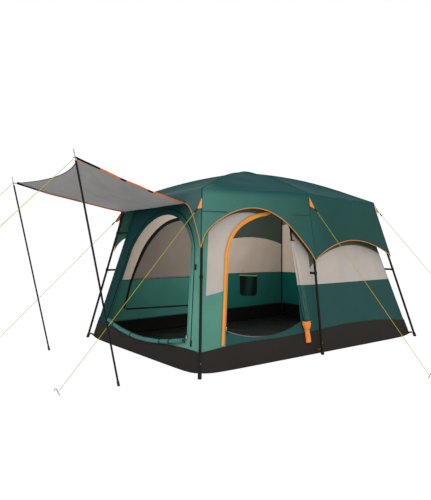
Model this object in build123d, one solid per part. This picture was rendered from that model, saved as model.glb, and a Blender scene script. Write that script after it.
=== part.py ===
"""A family cabin tent on a steel frame, with a rain fly over the poles and a side awning.

Six leaning legs carry six bowed roof poles that meet in a hub. The inner tent hangs
inside the frame on clips, the fly lies over it, and two loose poles hold up the awning.
All sizes are in millimetres. +Z is up, X runs along the long front side, the front faces
-Y and the awning side faces -X. The origin is the middle of the floor, on the ground.
"""
import os
from math import cos, exp, pi, radians, sin

from build123d import *

# Frame: legs, roof poles and hub
foot_half_x = 1653.0
foot_half_y = 1205.0
middle_x = -96.0
shoulder_z = 1622.0
roof_height = 392.0
corner_lean_x = 315.0
corner_lean_y = 401.0
middle_lean_y = 186.0
leg_radius = 13.0
leg_wall = 1.0
roof_pole_radius = 5.5
roof_pole_rise = 68.0
hub_radius = 48.0
hub_height = 36.0
socket_wall = 3.5
socket_length = 60.0
socket_seat = 20.0
elbow_knuckle = 2.0
fit_gap = 0.2
foot_radius = 17.5
foot_height = 46.0
foot_sole = 12.0
hub_z = shoulder_z + roof_height

# Cloth
cloth = 2.0
seam_gap = 0.5

# Inner tent: floor, skirt, walls and mesh ceiling, set in from the legs
floor_inset_x = 24.0
floor_shift_x = 16.0
floor_inset_y = 70.0
floor_thick = 3.0
skirt_top = 212.0
wall_rise = 10.0
wall_inset_x = 104.0
wall_inset_y = 86.0
wall_inset_middle = 79.0
ceiling_drop = 69.0
ceiling_ring = 45.0
floor_half_x = foot_half_x - floor_inset_x
floor_half_y = foot_half_y - floor_inset_y
wall_top = shoulder_z + wall_rise
wall_top_half_x = foot_half_x - corner_lean_x - wall_inset_x
wall_top_half_y = foot_half_y - corner_lean_y - wall_inset_y
wall_top_middle_y = foot_half_y - middle_lean_y - wall_inset_middle
ceiling_top = hub_z - ceiling_drop

# Rain fly
fly_out = 22.0
eave_rise = 24.0
crown_rise = 26.0
crown_bump = 14.0
crown_bump_radius = 150.0
crown_ring = 62.0
crown_patch_radius = 85.0
crown_dome = 4.0
fly_rise = 70.0
panel_shares = (0.0, 0.15, 0.32, 0.5, 0.68, 0.82, 0.91, 1.0)
hem_steps = 14
eave_z = shoulder_z + eave_rise
crown_z = hub_z + crown_rise
# Each arched hem: its height at the first and second leg, how far its crest is below the
# eave, its roundness at the first leg and how much that changes towards the second
front_left_hem = (1106.0, 966.0, 151.0, 0.55, 0.30)
front_right_hem = (966.0, 1001.0, 451.0, 0.72, 0.05)
back_left_hem = (1060.0, 966.0, 290.0, 0.60, 0.25)
back_right_hem = (966.0, 1001.0, 451.0, 0.72, 0.05)
right_hem = (1001.0, 1001.0, 345.0, 0.62, 0.0)

# Awning: sewn to the left valance along most of its hem
awning_line_drop = 106.0
awning_front_margin = 286.0
awning_back_margin = 120.0
side_hem_front_z = 1106.0
side_hem_back_drop = 140.0
side_hem_roundness = 0.9
side_hem_steps = 6
awning_edge_cut = 130.0
awning_edge_drop = 20.0
awning_sag = 48.0
awning_edge_sag = 18.0
awning_sections = 7
awning_corner_inset = 30.0
awning_line_z = eave_z - awning_line_drop

# Awning poles, one at each outer corner
awning_pole_radius = 8.0
awning_pole_wall = 1.0
awning_foot_reach = 633.0
awning_pole_lean = 360.0
awning_pole_splay = 19.0
awning_top_z = 1765.0
awning_front_inset = 221.0
awning_back_inset = 491.0
spike_radius = 3.5
spike_length = 78.0
spike_tip = 6.0
spike_collar = 5.0
spike_plug = 40.0
ring_inner = 14.0
ring_outer = 19.0
ring_thick = 3.0
ring_lift = 12.0
strap_width = 22.0
strap_thick = 2.0
awning_shoe_radius = 11.0
awning_shoe_height = 38.0
awning_shoe_sole = 10.0
awning_foot_x = -foot_half_x - awning_foot_reach

# Doors, placed by margins from the seams at their sides and from the skirt and wall top
front_door_corner_margin = 265.0
front_door_middle_margin = 200.0
front_door_sill_rise = 136.0
front_door_sill_dip = 98.0
front_door_head_drop = 142.0
front_door_jamb_drop = 545.0
side_door_front_margin = 195.0
side_door_back_margin = 272.0
side_door_sill_rise = 60.0
side_door_sill_dip = 48.0
side_door_head_drop = 170.0
side_door_jamb_drop = 545.0
flap_width = 44.0
flap_thick = 2.0

# Gathered front door: stations of height above the skirt, offset from the right jamb, half width
bundle_gap = 4.0
bundle_flatness = 0.7
bundle_folds = 5
fold_depth = 0.25
bundle_stations = ((970.0, -20.0, 14.0), (748.0, 0.0, 30.0), (518.0, 18.0, 40.0),
                   (308.0, 46.0, 36.0), (140.0, 60.0, 34.0))
# Its bright gathered end: the same, with a half depth
tail_stations = ((134.0, 62.0, 42.0, 26.0), (106.0, 62.0, 50.0, 28.0), (74.0, 62.0, 40.0, 24.0),
                 (50.0, 62.0, 26.0, 18.0), (-80.0, 64.0, 32.0, 16.0))

# Side door roll, along its sill, and the wall pocket
roll_radius = 22.0
roll_gap = 3.0
roll_end_drop = 10.0
roll_dip = 92.0
roll_end_margin = 30.0
pocket_from_middle = 717.0
pocket_width = 419.0
pocket_height = 357.0
pocket_rise = 161.0
pocket_thick = 6.0

# Zip sliders
slider_width = 12.0
slider_depth = 7.0
slider_length = 30.0
slider_corner = 2.0
slider_gap = 1.5
slider_edge = 9.0

# Clips that tie the walls to the legs, at shares of the shoulder's height
clip_shares = (0.518, 0.795)
clip_length = 30.0
clip_wall = 3.5
clip_mouth = 14.0
clip_strap_width = 24.0
clip_strap_thick = 2.0

# Guy lines: tab on the fly, runner, cord and peg. Tab drops are from the shoulder, and peg
# places are (x, y) on the ground
guy_radius = 2.0
tab_length = 66.0
tab_base = 100.0
tab_tip = 12.0
tab_stand_off = 6.0
runner_length = 42.0
runner_width = 22.0
runner_depth = 11.0
runner_bore_gap = 0.6
runner_place = 80.0
peg_radius = 3.0
peg_stem = 52.0
peg_hook_radius = 9.0
peg_lean = 25.0
peg_hold = 26.0
peg_buried = 8.0
tab_drops = {"front_left": 102.0, "front_middle": 47.0, "front_right": 14.0,
             "back_left": 152.0, "back_middle": 47.0, "back_right": 14.0}
guy_pegs = {"front_left": (-2745.0, -937.0), "front_middle": (-96.0, -2350.0),
            "front_right": (1674.0, -2091.0), "back_left": (-2923.0, 789.0)}
awning_pegs = {"front": (-4384.0, -1003.0), "back": (-4384.0, 733.0)}

LEGS = {"front_left": (-1, -1), "front_middle": (0, -1), "front_right": (1, -1),
        "back_left": (-1, 1), "back_middle": (0, 1), "back_right": (1, 1)}
BAYS = {"front_left": ("front_left", "front_middle"), "front_right": ("front_middle", "front_right"),
        "back_left": ("back_left", "back_middle"), "back_right": ("back_middle", "back_right"),
        "left": ("front_left", "back_left"), "right": ("front_right", "back_right")}
INWARD = {"front_left": Vector(0, 1, 0), "front_right": Vector(0, 1, 0), "back_left": Vector(0, -1, 0),
          "back_right": Vector(0, -1, 0), "left": Vector(1, 0, 0), "right": Vector(-1, 0, 0)}
ground_reach = 12000.0
ground = Pos(0, 0, ground_reach / 2) * Box(ground_reach, ground_reach, ground_reach)


# Lines of the frame and of the cloth

def leg_axis(leg, z):
    """The leg's axis at height z: a straight line that leans in from its foot."""
    side_x, side_y = LEGS[leg]
    rise = z / shoulder_z
    lean_y = corner_lean_y if side_x else middle_lean_y
    x = side_x * (foot_half_x - corner_lean_x * rise) if side_x else middle_x
    return Vector(x, side_y * (foot_half_y - lean_y * rise), z)


def fly_edge(leg, z):
    """Where the fly's outer face passes the leg at height z."""
    side_x, side_y = LEGS[leg]
    return leg_axis(leg, z) + Vector(side_x * fly_out, side_y * fly_out, 0)


def wall_edge(leg, z):
    """The inner tent's seam beside the leg, at height z."""
    side_x, side_y = LEGS[leg]
    rise = z / wall_top
    top_y = wall_top_half_y if side_x else wall_top_middle_y
    floor_x = floor_shift_x + side_x * floor_half_x
    x = floor_x + (side_x * wall_top_half_x - floor_x) * rise if side_x else middle_x
    return Vector(x, side_y * (floor_half_y + (top_y - floor_half_y) * rise), z)


def bay_point(edge, bay, u, z):
    """A point of the cloth between the bay's two legs, a share u of the way across."""
    first, second = BAYS[bay]
    a = edge(first, z)
    b = edge(second, z)
    return a + (b - a) * u


def bay_ends(edge, bay, z):
    """The bay's two ends at height z, drawn in on the sides so that corners don't cross."""
    a = bay_point(edge, bay, 0, z)
    b = bay_point(edge, bay, 1, z)
    if bay in ("left", "right"):
        inset = (b - a).normalized() * (cloth + seam_gap)
        return a + inset, b - inset
    return a, b


def sheet(pairs, thickness):
    """Cloth ruled from section to section, each a line from a to b carried by thickness."""
    outlines = [Wire.make_polygon([a, b, b + thickness, a + thickness]) for a, b in pairs]
    return Solid.make_loft(outlines, ruled=True)


def rod(start, end, radius, bore=0.0):
    """A round bar or tube from start to end."""
    section = Circle(radius) - Circle(bore) if bore else Circle(radius)
    return extrude(Plane(origin=start, z_dir=end - start) * section, (end - start).length)


def group(solids):
    """Separate solids kept together as one piece's node."""
    return Compound(children=[solid for part in solids for solid in part.solids()])


# Roof poles: each an arc in the upright plane through its shoulder and the hub

hub_centre = Vector(middle_x, 0, hub_z)


def roof_arc(leg, share):
    """The roof pole's axis at a share of the way along its chord from shoulder to hub."""
    start = leg_axis(leg, shoulder_z)
    chord = hub_centre - start
    level = Vector(chord.X, chord.Y, 0).normalized()
    along = chord.normalized()
    normal = Vector(0, 0, 1) * along.dot(level) - level * along.Z
    half = chord.length / 2
    radius = (half * half + roof_pole_rise * roof_pole_rise) / (2 * roof_pole_rise)
    offset = share * chord.length - half
    bow = (radius * radius - offset * offset) ** 0.5 - (radius - roof_pole_rise)
    return start + along * (share * chord.length) + normal * bow


def roof_bar(leg, first, last, radius):
    """A round bar that follows the roof pole's arc between two shares of it."""
    path = ThreePointArc(roof_arc(leg, first), roof_arc(leg, (first + last) / 2), roof_arc(leg, last))
    return sweep(Plane(origin=path @ 0, z_dir=path % 0) * Circle(radius), path=path)


def roof_share(leg, length):
    """The share of the pole's chord that a length makes up."""
    return length / (hub_centre - leg_axis(leg, shoulder_z)).length


def leg_up(leg):
    """The leg's direction, from its foot upwards."""
    return (leg_axis(leg, shoulder_z) - leg_axis(leg, 0)).normalized()


# Frame pieces

def make_leg(leg):
    """Steel tube from the foot's sole to the elbow's seat."""
    up = leg_up(leg)
    bottom = leg_axis(leg, 0) + up * foot_sole
    return rod(bottom, leg_axis(leg, shoulder_z) - up * socket_seat, leg_radius, leg_radius - leg_wall)


def make_foot(leg):
    """Moulded cup on the leg's end, cut level with the ground."""
    up = leg_up(leg)
    base = leg_axis(leg, 0)
    cup = rod(base - up * foot_radius, base + up * foot_height, foot_radius)
    bore = rod(base + up * foot_sole, base + up * (foot_height + 1), leg_radius + fit_gap)
    return (cup - bore) & ground


def make_elbow(leg):
    """Bent sleeve that turns the leg into the roof pole."""
    up = leg_up(leg)
    corner = leg_axis(leg, shoulder_z)
    leg_sleeve = leg_radius + socket_wall
    pole_sleeve = roof_pole_radius + socket_wall
    body = rod(corner - up * socket_length, corner, leg_sleeve)
    body += Pos(*corner) * Sphere(leg_sleeve + elbow_knuckle)
    body += roof_bar(leg, 0, roof_share(leg, socket_length), pole_sleeve)
    body -= rod(corner - up * (socket_length + 1), corner - up * socket_seat, leg_radius + fit_gap)
    reach = roof_share(leg, socket_length + 1)
    return body - roof_bar(leg, roof_share(leg, socket_seat), reach, roof_pole_radius + fit_gap)


def make_roof_pole(leg):
    """Glass-fibre pole, bowed between the elbow and the hub."""
    return roof_bar(leg, roof_share(leg, socket_seat), 1 - roof_share(leg, socket_seat), roof_pole_radius)


def make_hub():
    """Moulded hub with six sockets for the roof poles."""
    body = Pos(*hub_centre) * Cylinder(hub_radius, hub_height)
    for leg in LEGS:
        reach = roof_share(leg, socket_length + socket_seat)
        body += roof_bar(leg, 1 - reach, 1, roof_pole_radius + socket_wall)
    for leg in LEGS:
        reach = roof_share(leg, socket_length + socket_seat + 1)
        seat = 1 - roof_share(leg, socket_seat)
        body -= roof_bar(leg, 1 - reach, seat, roof_pole_radius + fit_gap)
    return body


# Inner tent

def wall_sheet(bay, low, high, outward=0.0, thick=cloth):
    """The bay's wall between two heights, moved outwards and given its thickness."""
    shift = INWARD[bay] * -outward
    low_ends = bay_ends(wall_edge, bay, low)
    high_ends = bay_ends(wall_edge, bay, high)
    pairs = [(a + shift, b + shift) for a, b in zip(low_ends, high_ends)]
    return sheet(pairs, INWARD[bay] * thick)


def skirt_side(bays):
    """One side of the skirt: the foot of its walls, in one piece past any middle leg."""
    pairs = []
    for bay in bays:
        low_ends = bay_ends(wall_edge, bay, floor_thick)
        high_ends = bay_ends(wall_edge, bay, skirt_top)
        pairs += [pair for pair in zip(low_ends, high_ends)]
    if len(bays) == 2:
        del pairs[2]
    return sheet(pairs, INWARD[bays[0]] * cloth)


def ceiling_panel(bay):
    """Mesh from the top of a wall up to the ring under the hub."""
    low = wall_top + seam_gap
    a, b = bay_point(wall_edge, bay, 0, low), bay_point(wall_edge, bay, 1, low)
    top = Vector(middle_x, 0, ceiling_top)
    ring = []
    for corner in (a, b):
        away = Vector(corner.X - top.X, corner.Y - top.Y, 0).normalized()
        ring.append(top + away * ceiling_ring)
    return sheet([(a, b), tuple(ring)], Vector(0, 0, cloth))


def upright(plane_x, outline, reach):
    """A prism through a wall: outline points are (x, z) for a front wall, (y, z) for a side one."""
    plane = Plane.YZ if plane_x else Plane.XZ
    return extrude(plane * make_face(outline), reach, both=True)


def wall_point(bay, margin, z):
    """A wall's point at height z, a margin from its first seam, or from its second if negative."""
    first = bay_point(wall_edge, bay, 0, z)
    second = bay_point(wall_edge, bay, 1, z)
    way = (second - first).normalized()
    return first + way * margin if margin >= 0 else second + way * margin


front_sill_z = skirt_top + front_door_sill_rise
front_jamb_z = wall_top - front_door_jamb_drop
front_sill_left = wall_point("front_left", front_door_corner_margin, front_sill_z)
front_jamb_left = wall_point("front_left", front_door_corner_margin, front_jamb_z)
front_sill_right = wall_point("front_left", -front_door_middle_margin, front_sill_z)
front_jamb_right = wall_point("front_left", -front_door_middle_margin, front_jamb_z)
side_sill_z = skirt_top + side_door_sill_rise
side_jamb_z = wall_top - side_door_jamb_drop
side_sill_front = wall_point("left", side_door_front_margin, side_sill_z)
side_jamb_front = wall_point("left", side_door_front_margin, side_jamb_z)
side_sill_back = wall_point("left", -side_door_back_margin, side_sill_z)
side_jamb_back = wall_point("left", -side_door_back_margin, side_jamb_z)


def front_door_outline(widen=0.0):
    """The front door's edge: leaning jambs, a round head and a dipped sill."""
    left_low = (front_sill_left.X - widen, front_sill_z)
    left_high = (front_jamb_left.X - widen, front_jamb_z)
    right_low = (front_sill_right.X + widen, front_sill_z)
    right_high = (front_jamb_right.X + widen, front_jamb_z)
    head = ((left_high[0] + right_high[0]) / 2, wall_top - front_door_head_drop + widen)
    dip = ((left_low[0] + right_low[0]) / 2, front_sill_z - front_door_sill_dip)
    return [Line(left_low, left_high), ThreePointArc(left_high, head, right_high),
            Line(right_high, right_low), ThreePointArc(right_low, dip, left_low)]


def side_door_outline():
    """The side door's edge: leaning jambs, a low round head and a dipped sill."""
    head = ((side_jamb_front.Y + side_jamb_back.Y) / 2, wall_top - side_door_head_drop)
    dip = ((side_sill_front.Y + side_sill_back.Y) / 2, side_sill_z - side_door_sill_dip)
    front_low, front_high = (side_sill_front.Y, side_sill_z), (side_jamb_front.Y, side_jamb_z)
    back_low, back_high = (side_sill_back.Y, side_sill_z), (side_jamb_back.Y, side_jamb_z)
    return [Line(front_low, front_high), ThreePointArc(front_high, head, back_high),
            Line(back_high, back_low), ThreePointArc(back_low, dip, front_low)]


door_reach = 2 * foot_half_x
front_door_cut = upright(False, front_door_outline(), door_reach) & (Pos(0, -door_reach, 0) * Box(
    2 * door_reach, 2 * door_reach, 2 * door_reach))
side_door_cut = upright(True, side_door_outline(), door_reach) & (Pos(-door_reach, 0, 0) * Box(
    2 * door_reach, 2 * door_reach, 2 * door_reach))


def make_wall(bay):
    """One bay of the inner tent's wall, with its door cut out."""
    wall = wall_sheet(bay, skirt_top + seam_gap, wall_top)
    if bay == "front_left":
        return wall - front_door_cut
    if bay == "left":
        return wall - side_door_cut
    return wall


def make_zip_flap():
    """Bright storm flap from the skirt up the front door's left jamb and round half of its head."""
    face = wall_sheet("front_left", skirt_top + seam_gap, wall_top, seam_gap + flap_thick, flap_thick)
    frame = upright(False, front_door_outline(flap_width), door_reach) - front_door_cut
    head_x = (front_jamb_left.X + front_jamb_right.X) / 2
    left_half = Pos(head_x - door_reach, 0, wall_top) * Box(
        2 * door_reach, 4 * door_reach, 2 * (wall_top - front_sill_z))
    lean = (front_jamb_left.X - front_sill_left.X) / (front_jamb_z - front_sill_z)
    foot_x = front_sill_left.X - lean * (front_sill_z - skirt_top)
    foot = Polyline((foot_x, skirt_top), (front_sill_left.X, front_sill_z),
                    (front_sill_left.X - flap_width, front_sill_z), (foot_x - flap_width, skirt_top),
                    close=True)
    return (face & (frame & left_half)) + (face & upright(False, foot, door_reach))


def folded_oval(centre, half_x, half_y):
    """A level oval whose edge is a row of rounded folds."""
    points = []
    for step in range(2 * bundle_folds + 1):
        angle = pi * step / bundle_folds
        reach = 1.0 if step % 2 else 1.0 - fold_depth
        points.append(centre + Vector(half_x * cos(angle), half_y * sin(angle), 0) * reach)
    return Wire([ThreePointArc(*points[first:first + 3]) for first in range(0, 2 * bundle_folds, 2)])


def make_bundle():
    """The front door's cloth, gathered to the right jamb and hung from a hook."""
    def station(rise, offset, half_x, half_y):
        z = skirt_top + rise
        jamb = wall_point("front_left", -front_door_middle_margin, z)
        return folded_oval(jamb + Vector(offset, -half_y - bundle_gap, 0), half_x, half_y)
    gathers = Solid.make_loft([station(rise, offset, half, half * bundle_flatness)
                               for rise, offset, half in bundle_stations])
    tail = Solid.make_loft([station(*sizes) for sizes in tail_stations])
    return group([gathers, tail])


def make_roll():
    """The side door's cloth, rolled down along its sill and sagging in the middle."""
    def place(y, z):
        return Vector(wall_edge("front_left", z).X - roll_radius - roll_gap, y, z)
    end_z = side_sill_z - roll_end_drop
    front_y, back_y = side_sill_front.Y + roll_end_margin, side_sill_back.Y - roll_end_margin
    path = ThreePointArc(place(front_y, end_z), place((front_y + back_y) / 2, end_z - roll_dip),
                         place(back_y, end_z))
    return sweep(Plane(origin=path @ 0, z_dir=path % 0) * Circle(roll_radius), path=path)


def make_pocket():
    """Flat mesh pocket sewn to the inside of the back wall."""
    face = wall_sheet("back_right", skirt_top, wall_top, -(cloth + seam_gap), pocket_thick)
    left, low = middle_x + pocket_from_middle, skirt_top + pocket_rise
    right, high = left + pocket_width, low + pocket_height
    outline = Polyline((left, low), (right, low), (right, high), (left, high), close=True)
    behind = Pos(0, door_reach, 0) * Box(2 * door_reach, 2 * door_reach, 2 * door_reach)
    return face & (upright(False, outline, door_reach) & behind)


# Rain fly

def fly_ridge(leg, share):
    """The fly's seam over a roof pole: a shallow parabola with a small bump at the hub."""
    start = fly_edge(leg, eave_z)
    level = Vector(hub_centre.X - start.X, hub_centre.Y - start.Y, 0)
    away = level.length * (1 - share)
    z = eave_z + (crown_z - eave_z) * share + 4 * fly_rise * share * (1 - share)
    z += crown_bump * exp(-(away / crown_bump_radius) ** 2)
    return Vector(start.X + level.X * share, start.Y + level.Y * share, z)


def crown_share(leg):
    """The share of a fly seam's run at which it reaches the ring round the hub."""
    level = fly_edge(leg, eave_z) - hub_centre
    return 1 - crown_ring / Vector(level.X, level.Y, 0).length


def fly_panel(bay):
    """One roof panel, from the eave up to the ring at the crown."""
    pairs = []
    for share in panel_shares:
        pairs.append(tuple(fly_ridge(leg, share * crown_share(leg)) for leg in BAYS[bay]))
    return sheet(pairs, Vector(0, 0, -cloth))


def make_crown():
    """Round domed patch that closes the fly over the hub."""
    base = max(fly_ridge(leg, crown_share(leg)).Z for leg in LEGS) + seam_gap
    outline = Polyline((0, base), (crown_patch_radius, base), (crown_patch_radius, base + cloth),
                       (0, base + cloth + crown_dome), close=True)
    return Pos(middle_x, 0, 0) * revolve(Plane.XZ * make_face(outline), Axis.Z)


def arch_hem(u, hem):
    """Height of a scalloped hem: a rounded arch between the two legs."""
    first, second, crest_drop, roundness, change = hem
    rise = eave_z - crest_drop - (first + second) / 2
    swell = max(sin(pi * u), 0.0) ** (roundness + change * u)
    return first + (second - first) * u + rise * swell


side_hem_width = 2 * bay_point(fly_edge, "left", 1, awning_line_z).Y
rise_end = awning_front_margin / side_hem_width
fall_start = 1 - awning_back_margin / side_hem_width


def side_hem(u):
    """Height of the left hem: up from the front leg to the awning's seam, then short at the back."""
    if u < rise_end:
        return side_hem_front_z + (awning_line_z - side_hem_front_z) * (
            sin(pi / 2 * u / rise_end) ** side_hem_roundness)
    if u > fall_start:
        return awning_line_z - side_hem_back_drop * (u - fall_start) / (1 - fall_start)
    return awning_line_z


def valance(bay, hem, shares):
    """The fly's upright part below the eave, down to its hem."""
    top = eave_z - cloth - seam_gap
    pairs = []
    for u in shares:
        low = hem(u)
        high_a, high_b = bay_ends(fly_edge, bay, top)
        low_a, low_b = bay_ends(fly_edge, bay, low)
        pairs.append((high_a + (high_b - high_a) * u, low_a + (low_b - low_a) * u))
    return sheet(pairs, INWARD[bay] * cloth)


even_shares = [step / hem_steps for step in range(hem_steps + 1)]


def arch_valance(bay, hem):
    """A valance with a plain arch between its legs."""
    return valance(bay, lambda u: arch_hem(u, hem), even_shares)


def make_side_valance():
    """The left valance, with the awning's seam along most of its hem."""
    rising = [rise_end * step / side_hem_steps for step in range(side_hem_steps + 1)]
    return valance("left", side_hem, rising + [fall_start, 1])


# Awning and its poles

pole_feet = {"front": Vector(awning_foot_x, awning_front_inset - foot_half_y, 0),
             "back": Vector(awning_foot_x, foot_half_y - awning_back_inset, 0)}
pole_tops = {"front": pole_feet["front"] + Vector(-awning_pole_lean, -awning_pole_splay, awning_top_z),
             "back": pole_feet["back"] + Vector(-awning_pole_lean, awning_pole_splay, awning_top_z)}


def pole_up(side):
    """An awning pole's direction, from its foot upwards."""
    return (pole_tops[side] - pole_feet[side]).normalized()


def ring_centre(side):
    """Centre of the corner ring that the pole's spike stands in."""
    return pole_tops[side] + pole_up(side) * ring_lift


def awning_outer(share):
    """The awning's free edge from its front corner to its back one, cut in and sagging."""
    span = ring_centre("back") - ring_centre("front")
    inset = awning_corner_inset / span.length
    along = ring_centre("front") + span * (inset + share * (1 - 2 * inset))
    bow = 4 * share * (1 - share)
    return along + Vector(awning_corner_inset + awning_edge_cut * bow, 0, -awning_edge_drop * bow)


def awning_inner(share):
    """The awning's seam along the left valance."""
    front, back = (bay_point(fly_edge, "left", u, awning_line_z) for u in (0, 1))
    y = front.Y + awning_front_margin
    y += (back.Y - awning_back_margin - y) * share
    return Vector(front.X - seam_gap, y, awning_line_z)


def make_awning():
    """The awning's cloth: hanging sections from the tent to the free edge."""
    outlines = []
    for step in range(awning_sections):
        share = step / (awning_sections - 1)
        near, far = awning_inner(share), awning_outer(share)
        sag = awning_edge_sag + (awning_sag - awning_edge_sag) * sin(pi * share)
        low = (near + far) * 0.5 - Vector(0, 0, sag)
        down = Vector(0, 0, -cloth)
        edges = [ThreePointArc(near, low, far), Line(far, far + down),
                 ThreePointArc(far + down, low + down, near + down), Line(near + down, near)]
        outlines.append(Wire(edges))
    return Solid.make_loft(outlines, ruled=True)


def make_corner_strap(side):
    """Webbing and ring that tie an awning corner to its pole."""
    up, centre = pole_up(side), ring_centre(side)
    ring = extrude(Plane(origin=centre - up * (ring_thick / 2), z_dir=up) * (
        Circle(ring_outer) - Circle(ring_inner)), ring_thick)
    corner = awning_outer(0 if side == "front" else 1) + Vector(0, 0, -cloth / 2)
    level = corner - centre
    level = (level - up * level.dot(up)).normalized()
    start = centre + level * ((ring_inner + ring_outer) / 2)
    way = (corner - start).normalized()
    end = corner - way * (cloth + seam_gap)
    web = extrude(Plane(origin=start, x_dir=way.cross(up), z_dir=way) * Rectangle(
        strap_width, strap_thick), (end - start).length)
    return ring + web


def make_awning_tube(side):
    """Steel tube from the shoe's sole to the spike's collar."""
    foot, top, up = pole_feet[side], pole_tops[side], pole_up(side)
    bore = awning_pole_radius - awning_pole_wall
    return rod(foot + up * awning_shoe_sole, top - up * ring_lift, awning_pole_radius, bore)


def make_spike(side):
    """Steel spike with a plug in the tube and a collar that stops at its end."""
    top, up = pole_tops[side], pole_up(side)
    seat = top - up * ring_lift
    collar = seat + up * spike_collar
    neck = top + up * (spike_length - spike_tip)
    plug = rod(seat - up * spike_plug, seat, awning_pole_radius - awning_pole_wall - fit_gap)
    point = Cone(spike_radius, spike_radius / 3, spike_tip)
    tip = Plane(origin=neck + up * (spike_tip / 2), z_dir=up) * point
    return plug + rod(seat, collar, awning_pole_radius) + rod(collar, neck, spike_radius) + tip


def make_shoe(side):
    """Rubber shoe on the pole's foot, cut level with the ground."""
    foot, top, up = pole_feet[side], pole_tops[side], pole_up(side)
    shoe = rod(foot - up * awning_shoe_radius, foot + up * awning_shoe_height, awning_shoe_radius)
    shoe -= rod(foot + up * awning_shoe_sole, foot + up * (awning_shoe_height + 1),
                awning_pole_radius + fit_gap)
    return shoe & ground


# Guy lines

def peg_stem_way(anchor, peg):
    """The peg's lean, away from the point that its guy comes from."""
    away = Vector(peg[0] - anchor.X, peg[1] - anchor.Y, 0).normalized()
    return away * sin(radians(peg_lean)) + Vector(0, 0, cos(radians(peg_lean)))


def guy_end(anchor, peg):
    """Where the guy's line meets the peg's stem."""
    return Vector(peg[0], peg[1], 0) + peg_stem_way(anchor, peg) * peg_hold


def guy_way(anchor, peg):
    """Direction of a guy from its anchor to its peg."""
    return (guy_end(anchor, peg) - anchor).normalized()


def make_guy(anchor, peg, start):
    """Straight cord from a distance past its anchor to the peg's stem."""
    way = guy_way(anchor, peg)
    return rod(anchor + way * start, guy_end(anchor, peg) - way * (peg_radius + 2 * guy_radius), guy_radius)


def make_peg(anchor, peg):
    """The part of a steel peg that stands out of the ground, with its hook."""
    way = peg_stem_way(anchor, peg)
    level = Vector(way.X, way.Y, 0).normalized()
    side = level * cos(radians(peg_lean)) - Vector(0, 0, sin(radians(peg_lean)))
    foot = Vector(peg[0], peg[1], 0) - way * peg_buried
    head = Vector(peg[0], peg[1], 0) + way * peg_stem
    crest = head + side * peg_hook_radius + way * peg_hook_radius
    over = head + side * (2 * peg_hook_radius)
    path = Wire([Line(foot, head), ThreePointArc(head, crest, over)])
    return sweep(Plane(origin=foot, z_dir=way) * Circle(peg_radius), path=path) & ground


def tab_anchor(leg):
    """Middle of the guy's tab, just off the fly's seam over the leg."""
    side_x, side_y = LEGS[leg]
    off = Vector(side_x, side_y, 0) * tab_stand_off
    return fly_edge(leg, shoulder_z - tab_drops[leg]) + off


def tab_peg(leg):
    """The peg that a tab points at; a back tab with no guy points straight out and down."""
    if leg in guy_pegs:
        return guy_pegs[leg]
    anchor = tab_anchor(leg)
    side_x, side_y = LEGS[leg]
    return anchor.X + side_x * anchor.Z, anchor.Y + side_y * anchor.Z


def make_tab(leg):
    """Triangular cloth tab that stands off the seam over a leg, with its tip towards the peg."""
    anchor, up = tab_anchor(leg), leg_up(leg)
    tip = anchor + guy_way(anchor, tab_peg(leg)) * tab_length
    outline = Polyline(anchor + up * (tab_base / 2), tip + up * (tab_tip / 2), tip - up * (tab_tip / 2),
                       anchor - up * (tab_base / 2), close=True)
    return extrude(make_face(outline), cloth / 2, both=True)


def make_runner(leg):
    """Moulded runner that tightens a guy: a flat oval block on the cord."""
    anchor = tab_anchor(leg)
    way = guy_way(anchor, guy_pegs[leg])
    plane = Plane(origin=anchor + way * runner_place, x_dir=way.cross(Vector(0, 0, 1)), z_dir=way)
    section = SlotOverall(runner_width, runner_depth) - Circle(guy_radius + runner_bore_gap)
    return extrude(plane * section, runner_length)


# Clips

def make_clip(leg, z):
    """Snap hook round a leg, on a strap from the wall's seam."""
    up, centre, seam = leg_up(leg), leg_axis(leg, z), wall_edge(leg, z)
    inward = seam - centre
    inward = (inward - up * inward.dot(up)).normalized()
    inner, outer = leg_radius + fit_gap, leg_radius + fit_gap + clip_wall
    strap_start = centre + inward * inner
    strap = extrude(Plane(origin=strap_start, x_dir=up, z_dir=seam - strap_start) * Rectangle(
        clip_strap_width, clip_strap_thick), (seam - strap_start).length)
    for bay in BAYS:
        if leg in BAYS[bay]:
            strap -= wall_sheet(bay, skirt_top, wall_top)
    strap = strap.solids().sort_by(SortBy.VOLUME)[-1]
    plane = Plane(origin=centre - up * (clip_length / 2), x_dir=inward, z_dir=up)
    mouth = Pos(-outer, 0) * Rectangle(2 * outer, clip_mouth)
    hook = extrude(plane * (Circle(outer) - mouth), clip_length)
    return (hook + strap) - rod(centre - up * clip_length, centre + up * clip_length, inner)


# Zip sliders

def slider_on(bay, low, high, inside):
    """A zip slider at the foot of a straight jamb that runs from low to high, clear of the cloth."""
    way = (high - low).normalized()
    out = INWARD[bay] * -1
    out = (out - way * out.dot(way)).normalized()
    start = low + inside * slider_edge + out * (slider_gap + flap_thick + cloth + slider_depth / 2)
    plane = Plane(origin=start, x_dir=way.cross(out), z_dir=way)
    body = extrude(plane * RectangleRounded(slider_width, slider_depth, slider_corner), slider_length)
    bridge = Pos(0, -slider_depth / 2) * Rectangle(slider_width / 3, slider_depth)
    return body + extrude(plane * bridge, slider_length / 2)


# All pieces by name

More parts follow.
